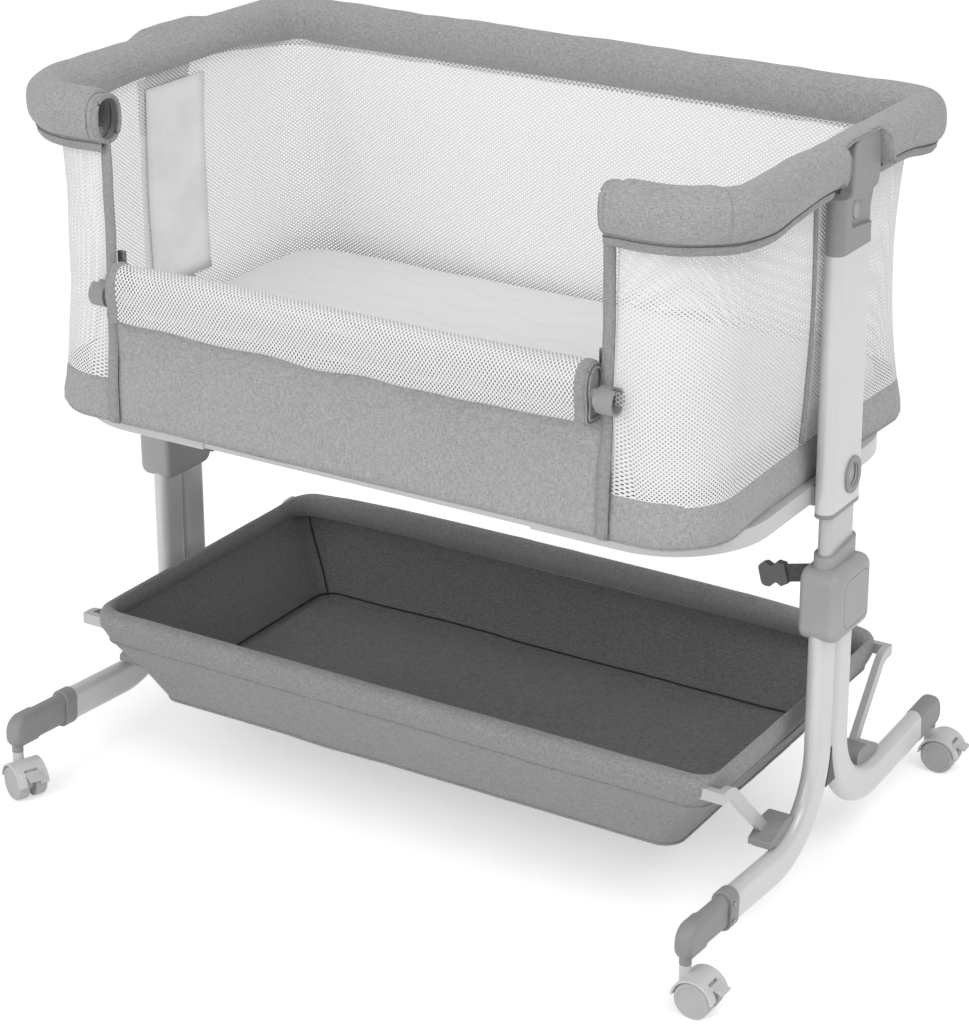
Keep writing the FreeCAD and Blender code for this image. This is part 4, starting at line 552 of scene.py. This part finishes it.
def rail_skirt():
    """The flat strip under the padding that holds the net, with its line of stitches."""
    runs = [[]]
    for station in rail_stations(detail=3):
        x, y, nx, ny = station
        if abs(nx) > 0.9 and HEAD_FRONT + 0.004 < y < HEAD_REAR - 0.008:
            if runs[-1]:
                runs.append([])
        else:
            runs[-1].append(station)
    for n, run in enumerate(runs):
        rows = [[], [], [], []]
        stitches = []
        for x, y, nx, ny in run:
            end = abs(nx)
            out = 0.013 - 0.003 * end
            foot = RAIL_Z - 0.0305 + column_lift(y, end) + wrinkle(x, y, 0, 30, 0.001)
            levels = [(out - 0.002, foot), (out + 0.001, foot + 0.004)]
            levels += [(out + 0.001, foot + 0.010), (out, foot + 0.014)]
            for row, (across, height) in zip(rows, levels):
                row.append((x + nx * across, y + ny * across, height))
            stitches.append((x + nx * (out + 0.002), y + ny * (out + 0.002), foot + 0.0105))
        cloth(f"rail_skirt_{n}", rows, [BINDING], thickness=0.0016)
        tube(f"rail_stitches_{n}", stitches, 0.0005, SEAM, sides=5)


CUFF_START = 0.012
CUFF_END = {"right": 0.118, "left": 0.085}


def rail_cuffs():
    """The wrapped cuffs on the two front ends of the padding, with bound edges."""
    stations = rail_stations(detail=6)
    for side, name in SIDES:
        run = []
        travelled = 0.0
        for n, (x, y, nx, ny) in enumerate(stations):
            if n:
                travelled += math.dist((x, y), stations[n - 1][:2])
            if CUFF_START < travelled < CUFF_END[name]:
                run.append((x, y, nx, ny))
        rows = []
        for n, (x, y, nx, ny) in enumerate(run):
            ends = 1 - (2 * n / (len(run) - 1) - 1) ** 10
            ring = rail_section(x, y, nx, ny, swell=0.0010 + 0.0026 * ends)
            rows.append([(side * px, py, pz) for px, py, pz in ring[:-INSIDE_POINTS]])
        cloth(f"rail_cuff_{name}", rows, [RAIL_CLOTH], thickness=0.0016, turned=side > 0)
        for k, row in enumerate((rows[0], rows[-1])):
            tube(f"cuff_seam_{side + 1}_{k}", row, 0.0010, SEAM, sides=6)
        folds = [s for s in stations if s[3] > 0.99 and 0.372 < s[0] < 0.376][:1]
        folds += [s for s in stations if s[2] > 0.4][-1:]
        for k, place in enumerate(folds):
            line = [(side * px, py, pz) for px, py, pz in rail_section(*place, swell=0.0006)]
            tube(f"rail_seam_{side + 1}_{k}", line, 0.0008, SEAM, sides=6, closed=True)
        x, y, nx, ny = stations[0]
        for k, (shift, swell, radius) in enumerate(((0.0, 0.0, 0.0026), (0.0045, 0.0012, 0.0016))):
            ring = rail_section(x + shift, y, nx, ny, swell=swell)
            lip = [(side * px, py, pz) for px, py, pz in ring]
            tube(f"rail_end_binding_{side + 1}_{k}", lip, radius, BINDING, sides=8, closed=True)


# ---------------------------------------------------------------- walls of the tub

FOOT = dict(
    x=0.4175, front=-0.2490, back=0.2630, front_turn=0.072,
    back_turn=0.062, end_bow=0.004, back_bow=0.012,
)
WAIST = dict(
    x=0.4150, front=-0.2440, back=0.2400, front_turn=0.084,
    back_turn=0.062, end_bow=-0.008, back_bow=0.017,
)
CROWN = dict(
    x=0.4255, front=-0.2420, back=0.2430, front_turn=0.086,
    back_turn=0.056, end_bow=0.002, back_bow=0.001,
)
FOOT_Z, WAIST_Z, CROWN_Z = 0.515, 0.642, 0.806
DOOR = 0.3165
NET_ROWS = 24


def wall_outline(z, inset=0.0, door=None, detail=1):
    """The tub's outline at a height, by a parabola through its foot, waist and crown."""
    a = (z - WAIST_Z) * (z - CROWN_Z) / ((FOOT_Z - WAIST_Z) * (FOOT_Z - CROWN_Z))
    b = (z - FOOT_Z) * (z - CROWN_Z) / ((WAIST_Z - FOOT_Z) * (WAIST_Z - CROWN_Z))
    c = (z - FOOT_Z) * (z - WAIST_Z) / ((CROWN_Z - FOOT_Z) * (CROWN_Z - WAIST_Z))
    size = {key: FOOT[key] * a + WAIST[key] * b + CROWN[key] * c for key in FOOT}
    size["x"] -= inset
    size["front"] += inset
    size["back"] -= inset
    return plan(door=door, detail=detail, **size)


def end_wall(line, y):
    """The x of an outline's right end, at its point nearest to y."""
    return min((abs(py - y), px) for px, py in line if px > 0)[1]


def net_walls():
    """The net between band and rail, open at the front, with its bound edges."""
    rows = []
    for n, z in enumerate(steps(FOOT_Z, CROWN_Z - 0.002, NET_ROWS)):
        row = []
        for x, y in wall_outline(z, door=DOOR, detail=2):
            puff = wrinkle(x, y, z, 9, 0.0022) * math.sin(math.pi * n / NET_ROWS)
            row.append((x + math.copysign(puff, x), y + math.copysign(puff, y), z))
        rows.append(row)
    piece = cloth("net_walls", rows, [WALL_NET])
    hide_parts("mesh_walls")
    for side, name in SIDES:
        door_binding(side, name)
        column_binding(side, name)


def door_binding(side, name):
    """The bound strip beside the opening, from rail to band, with a seam along each edge."""
    rows = [[], [], []]
    edges = [[], []]
    for z in steps(0.4715, 0.792, 32):
        front = -0.2542 + 0.0085 * between(z, 0.47, 0.66) + wrinkle(side, 0, z, 18, 0.0016)
        inner = 0.3035 + wrinkle(0, side * 3, z, 12, 0.0012)
        for row, (x, lift) in zip(rows, ((inner, 0.0), (inner + 0.0065, 0.0012), (inner + 0.013, 0.0))):
            row.append((side * x, front - lift, z))
        for edge, x in zip(edges, (inner + 0.0004, inner + 0.0128)):
            edge.append((side * x, front - 0.0004, z))
    piece = cloth(f"door_binding_{name}", rows, [BINDING], thickness=0.0016, turned=side < 0)
    if side > 0:
        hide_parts("zip_tapes")
    for k, edge in enumerate(edges):
        tube(f"door_seam_{name}_{k}", edge, 0.0006, SEAM, sides=5)


def column_binding(side, name):
    """The bound edge of the end net in front of the column."""
    rows = [[], [], []]
    for z, y in zip(steps(0.519, 0.790, 20), steps(-0.022, -0.030, 20)):
        x = end_wall(wall_outline(z), y)
        for row, (shift, lift) in zip(rows, ((-0.004, 0.0005), (0.0, 0.0024), (0.004, 0.0005))):
            row.append((side * (x + lift), y + shift, z))
    piece = cloth(f"column_binding_{name}", rows, [BINDING], thickness=0.0014, turned=side < 0)


def tub_band():
    """The grey lower band with its floor, and the panel under the opening."""
    rows = []
    levels = [(0.4700, -0.010), (0.4712, -0.002), (0.4750, 0.0006), (0.4860, 0.0012)]
    levels += [(0.4990, 0.0006), (0.5120, 0.0), (0.5196, -0.0004), (0.5202, -0.003)]
    for z, out in levels:
        share = (z - 0.4712) / 0.048
        size = dict(FOOT, x=0.4215 - 0.005 * share + out, front=-0.2512 + 0.0018 * share - out)
        size["back"] = 0.268 - 0.005 * share + out
        row = []
        for x, y in plan(detail=3, **size):
            soft = wrinkle(x, y, z, 26, 0.0012) * (1 if 0.472 < z < 0.518 else 0.3)
            wave = wrinkle(x, y, 0, 14, 0.0012)
            row.append((x + math.copysign(soft, x), y + math.copysign(soft, y), z + wave))
        rows.append(row)
    foot = rows[0]
    for share in (0.9, 0.6, 0.3, 0.04):
        rows.insert(0, [(x * share, (y - 0.008) * share + 0.008, 0.4728) for x, y, z in foot])
    piece = cloth("tub_band", rows, [BAND_CLOTH], closed=True)
    shape = bmesh.new()
    shape.from_mesh(piece.data)
    hole = [edge for edge in shape.edges if edge.is_boundary and edge.verts[0].co.z < 0.48]
    bmesh.ops.contextual_create(shape, geom=hole)
    shape.to_mesh(piece.data)
    shape.free()
    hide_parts("fabric_band")
    hem = [(x, y, z - 0.0004) for x, y, z in rows[5]]
    tube("band_hem", hem, 0.0014, BAND_CLOTH, sides=6, closed=True)
    rows = []
    for share, z in zip(steps(0, 1, 16), steps(0.4722, 0.5975, 16)):
        row = []
        for x in steps(-0.3045, 0.3045, 80):
            soft = wrinkle(x, 0, z, 22, 0.0016) + wrinkle(x, 5, z, 7, 0.0026)
            row.append((x, -0.2530 + 0.0034 * share - abs(soft) * math.sin(math.pi * share), z))
        rows.append(row)
    panel = cloth("front_panel", rows, [BAND_CLOTH], thickness=0.0022)


LABEL_WIDTH = 0.108


def bare_label():
    """The sewn-in panel inside the left end: plain cloth with nothing on it."""
    rows = []
    for z, front in zip(steps(0.548, 0.786, 16), steps(-0.047, -0.038, 16)):
        line = wall_outline(z)
        row = []
        for y in steps(front, front + LABEL_WIDTH, 8):
            x = end_wall(line, y)
            row.append((-(x - 0.0035) + wrinkle(0, y, z, 16, 0.0012), y, z))
        rows.append(row)
    piece = cloth("bare_label", rows, [PANEL_CLOTH], thickness=0.0005)


# ---------------------------------------------------------------- drop side


ROLL_Y, ROLL_Z, ROLL_REACH = -0.255, 0.621, 0.294
ROLL_CORNERS = (
    (0.0130, -0.0235),
    (0.0165, -0.010),
    (0.0160, 0.006),
    (0.0150, 0.020),
    (0.0120, 0.031),
    (0.0040, 0.0362),
    (-0.0070, 0.0350),
    (-0.0140, 0.0270),
    (-0.0172, 0.014),
    (-0.0168, 0.000),
    (-0.0150, -0.011),
    (-0.0155, -0.020),
    (-0.0110, -0.0255),
    (0.0020, -0.0262),
)


def roll_outline(swell=0.0):
    """The side view of the gathered net, as (y, z) from its rear foot over the top to the front.

    A smooth curve through the corners, four points from one to the next.
    """
    line = []
    count = len(ROLL_CORNERS)
    for n in range(count):
        a, b, c, d = (Vector(ROLL_CORNERS[(n + k) % count]) for k in (-1, 0, 1, 2))
        for k in range(4):
            t = k / 4
            square, cube = 2 * a - 5 * b + 4 * c - d, 3 * b - a - 3 * c + d
            point = 0.5 * (2 * b + (c - a) * t + square * t * t + cube * t ** 3)
            grown = point * (1 + swell / max(point.length, 0.01))
            line.append((ROLL_Y + grown.x, ROLL_Z + grown.y))
    return line


ROLL_END = ((0.2860, 0.0006), (0.2880, 0.0020), (0.2930, 0.0024), (0.2975, 0.0016), (0.2985, -0.002))


def drop_roll():
    """The white net gathered round the drop rail, with a bound edge and piping at each end."""
    rows = []
    section = roll_outline()
    for x in steps(-ROLL_REACH, ROLL_REACH, 120):
        sag = -0.003 * math.cos(math.pi * x / (2 * ROLL_REACH)) ** 2
        row = []
        for y, z in section:
            soft = wrinkle(x * 0.4, y, z, 30, 0.0018) + wrinkle(x, y, z, 8, 0.0020)
            away = Vector((y - ROLL_Y, z - 0.625)).normalized()
            low = between(0.612 - z, 0, 0.012)
            dip = sag * low + wrinkle(x, 3, 0, 16, 0.0028) * low
            row.append((x, y + away.x * soft, z + away.y * soft + dip))
        rows.append(row)
    piece = cloth("gathered_net", rows, [ROLL_NET], closed=True, cap=True, body="drop_rail", turned=True)
    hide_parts("drop_mesh_roll")
    for side, name in SIDES:
        rows = []
        for x, swell in ROLL_END:
            rows.append([(side * x, y, z) for y, z in roll_outline(swell)])
        form = dict(closed=True, cap=True, body="drop_rail", turned=side > 0)
        end = cloth(f"roll_end_{name}", rows, [BINDING], **form)
        for k, (x, swell) in enumerate(((0.2990, -0.0005), (0.3010, -0.0050))):
            line = [(side * x, y, z) for y, z in roll_outline(swell)]
            tube(f"roll_piping_{name}_{k}", line, 0.0012, BINDING, body="drop_rail", closed=True)


# ---------------------------------------------------------------- mattress and basket


MATTRESS_Z, MATTRESS_TOP = 0.5362, 0.5436
MATTRESS_MIDDLE = 0.0035


def mattress():
    """The quilted mattress: a soft slab with piped edges and a low crown."""
    levels = [(0.4865, 0.006), (0.4880, 0.001), (0.4950, -0.001), (0.5150, -0.002), (0.5280, -0.0005)]
    levels += [(0.5330, 0.003), (MATTRESS_Z, 0.010)]
    rows = []
    for z, inset in levels:
        size = dict(x=0.393 - inset, front=-0.224 + inset, back=0.231 - inset)
        outline = plan(front_turn=0.050, back_turn=0.036, detail=2, **size)
        rows.append([(x, y, z + wrinkle(x, y, 0, 12, 0.0012)) for x, y in outline])
    rim = rows[-1]
    for n in range(1, 13):
        share = 1 - n / 12.4
        row = []
        for x, y, z in rim:
            px, py = x * share, MATTRESS_MIDDLE + (y - MATTRESS_MIDDLE) * share
            swell = 0.0055 * smooth((1 - share) * 4)
            swell = swell + wrinkle(px, py, 0, 9, 0.0016) + wrinkle(px, py, 4, 30, 0.0005)
            row.append((px, py, min(MATTRESS_Z + swell, MATTRESS_TOP)))
        rows.append(row)
    piece = cloth("quilted_mattress", rows, [QUILT], closed=True, cap=True)
    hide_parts("mattress")
    line = [(x * 1.002, y * 1.004, z - 0.003) for x, y, z in rows[5]]
    piping = tube("mattress_piping", line, 0.0018, QUILT, closed=True)


BASKET_LEVELS = (
    (0.1730, 0.004, 0.0175),
    (0.1880, 0.004, 0.0180),
    (0.1950, 0.004, 0.0155),
    (0.1985, 0.002, 0.0080),
    (0.1970, 0.0005, 0.0010),
    (0.1925, 0.0, -0.0030),
    (0.1860, 0.0, -0.0040),
    (0.1780, 0.0, -0.0030),
    (0.1720, 0.002, 0.0),
    (0.1600, 0.0085, 0.0056),
    (0.1450, 0.0200, 0.0138),
    (0.1280, 0.0330, 0.0225),
    (0.1100, 0.0455, 0.0310),
    (0.0980, 0.0530, 0.0370),
    (0.0870, 0.0600, 0.0421),
    (0.0815, 0.0630, 0.0456),
    (0.0800, 0.0700, 0.0520),
)
BASKET_RIM, CHANNEL_UNDER, CHANNEL_FOOT, FLOOR_SEAM, FLOOR_EDGE = 4, 5, 9, 14, 15
BASKET_TURN, BASKET_MIDDLE = 0.024, 0.015


def basket():
    """The basket: cloth walls that slope in from the rod channels to a soft floor.

    A level is its height and how far it lies inside the widest outline in x and in y.
    """
    rows = []
    for z, inset_x, inset_y in BASKET_LEVELS:
        size = dict(x=0.4065 - inset_x, front=-0.1970 + inset_y, back=0.2270 - inset_y)
        row = []
        for x, y in plan(front_turn=BASKET_TURN, back_turn=BASKET_TURN, detail=3, **size):
            soft = wrinkle(x, y, z * 2, 9, 0.0048) * (1 if z < 0.165 else 0.15)
            soft += wrinkle(x, y, z, 28, 0.0012)
            bow = 0.011 * between(y, 0.15, 0.205) * (1 - (x / 0.41) ** 4) * between(z, 0.15, 0.19)
            px, py = x + math.copysign(soft, x) * 0.7, y + math.copysign(soft, y) * 0.7
            row.append((px, py, z + soft * 0.3 + bow))
        rows.append(row)
    floor_edge = rows[-1]
    for n in range(1, 11):
        share = 1 - n / 10.3
        row = []
        for x, y, z in floor_edge:
            px, py = x * share, BASKET_MIDDLE + (y - BASKET_MIDDLE) * share
            row.append((px, py, 0.0798 + wrinkle(px, py, 0, 7, 0.0022) + wrinkle(px, py, 2, 20, 0.0008)))
        rows.append(row)
    centre = tuple(sum(point[k] for point in rows[-1]) / len(rows[-1]) for k in range(3))
    form = dict(closed=True, pole=centre, body="base", turned=True, thickness=0.002)
    # The inner faces of the walls and floor take the darker copy of the cloth: painted shade.
    piece = cloth("basket_cloth", rows, [BASKET_OUT, BASKET_IN_PAINTED_SHADE], **form)
    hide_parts("basket_fabric")
    for k, (level, radius) in enumerate(((CHANNEL_FOOT, 0.0009), (FLOOR_EDGE, 0.0018))):
        line = [(x * 1.0015, y * 1.0025, z) for x, y, z in rows[level]]
        tube(f"basket_seam_{k}", line, radius, BASKET_OUT, body="base", sides=6, closed=True)
    line = [(x * 0.993, y * 0.988, z + 0.0022) for x, y, z in rows[FLOOR_SEAM]]
    tube("basket_floor_seam", line, 0.0011, BASKET_SEAM, body="base", sides=6, closed=True)
    rim = rows[BASKET_RIM]
    for k, (way_x, way_y) in enumerate(((1, -1), (1, 1), (-1, 1), (-1, -1))):
        corner = max(range(len(rim)), key=lambda n: rim[n][0] * way_x + rim[n][1] * way_y)
        edge = [rows[level][corner] for level in range(CHANNEL_UNDER, FLOOR_SEAM + 1)]
        line = [(x * 0.991, y * 0.984, z) for x, y, z in edge]
        tube(f"basket_corner_seam_{k}", line, 0.0010, BASKET_SEAM, body="base", sides=6)


rail_padding()
rail_skirt()
rail_cuffs()
net_walls()
tub_band()
bare_label()
drop_roll()
mattress()
basket()


# ---------------------------------------------------------------- studio

CAMERA_PLACE = Vector((1.590, -2.5127, 1.5996))
CAMERA_TURN = (0.538, 0.3546, 0.005)
PICTURE_PX = (969, 1024)
FOCAL_PX = 2826.5
CENTRE_PX = (544.85, 382.25)
LAMPS = (
    ("key", (-0.4, -3.6, 2.3), 2.4, 44),
    ("fill", (2.5, -0.9, 3.6), 2.2, 40),
)
LAMP_AIM = Vector((0, 0, 0.4))


def studio():
    """A white floor and sky, two soft lamps and the camera of the reference view."""
    scene = bpy.context.scene
    bpy.ops.mesh.primitive_plane_add(size=40, location=(0, 0, 0))
    floor = bpy.context.object
    floor.name = "floor"
    paint = Paint("studio_floor", grey(250), Roughness=0.9)
    paint.feed(paint.shader, {"Specular IOR Level": 0.0})
    rays = paint.node("ShaderNodeLightPath")
    glow = paint.node("ShaderNodeEmission", None, {"Color": (1, 1, 1, 1), "Strength": 0.42})
    adding = paint.node("ShaderNodeAddShader", None, {0: paint.shader.outputs[0], 1: glow.outputs[0]})
    seen, mirrored = rays.outputs["Is Camera Ray"], rays.outputs["Is Glossy Ray"]
    direct = paint.maths("MAXIMUM", Signal(paint, seen), Signal(paint, mirrored))
    inputs = {0: direct, 1: paint.shader.outputs[0], 2: adding.outputs[0]}
    mixed = paint.node("ShaderNodeMixShader", None, inputs)
    output = next(n for n in paint.tree.nodes if n.type == "OUTPUT_MATERIAL")
    paint.tree.links.new(mixed.outputs[0], output.inputs["Surface"])
    floor.data.materials.append(paint.material)

    world = bpy.data.worlds.new("studio")
    scene.world = world
    world.use_nodes = True
    sky = world.node_tree.nodes["Background"]
    sky.inputs["Color"].default_value = (1, 1, 1, 1)
    sky.inputs["Strength"].default_value = 0.60

    for name, place, size, power in LAMPS:
        data = bpy.data.lights.new(name, "AREA")
        data.size, data.energy = size, power
        lamp = bpy.data.objects.new(name, data)
        scene.collection.objects.link(lamp)
        lamp.location = place
        lamp.rotation_euler = (LAMP_AIM - Vector(place)).to_track_quat("-Z", "Y").to_euler()

    yaw, pitch, roll = CAMERA_TURN
    back = Vector((math.sin(yaw) * math.cos(pitch), -math.cos(yaw) * math.cos(pitch), math.sin(pitch)))
    right = Vector((math.cos(yaw), math.sin(yaw), 0))
    up = back.cross(right)
    level = right * math.cos(roll) + up * math.sin(roll)
    tall = up * math.cos(roll) - right * math.sin(roll)
    data = bpy.data.cameras.new("photograph")
    data.sensor_fit = "VERTICAL"
    data.sensor_height = 36
    data.lens = FOCAL_PX / PICTURE_PX[1] * data.sensor_height
    data.shift_x = (PICTURE_PX[0] / 2 - CENTRE_PX[0]) / PICTURE_PX[1]
    data.shift_y = (CENTRE_PX[1] - PICTURE_PX[1] / 2) / PICTURE_PX[1]
    camera = bpy.data.objects.new("photograph", data)
    scene.collection.objects.link(camera)
    turn = Matrix((level, tall, back)).transposed().to_4x4()
    camera.matrix_world = Matrix.Translation(CAMERA_PLACE) @ turn
    scene.camera = camera
    scene.view_settings.view_transform = "Standard"


studio()
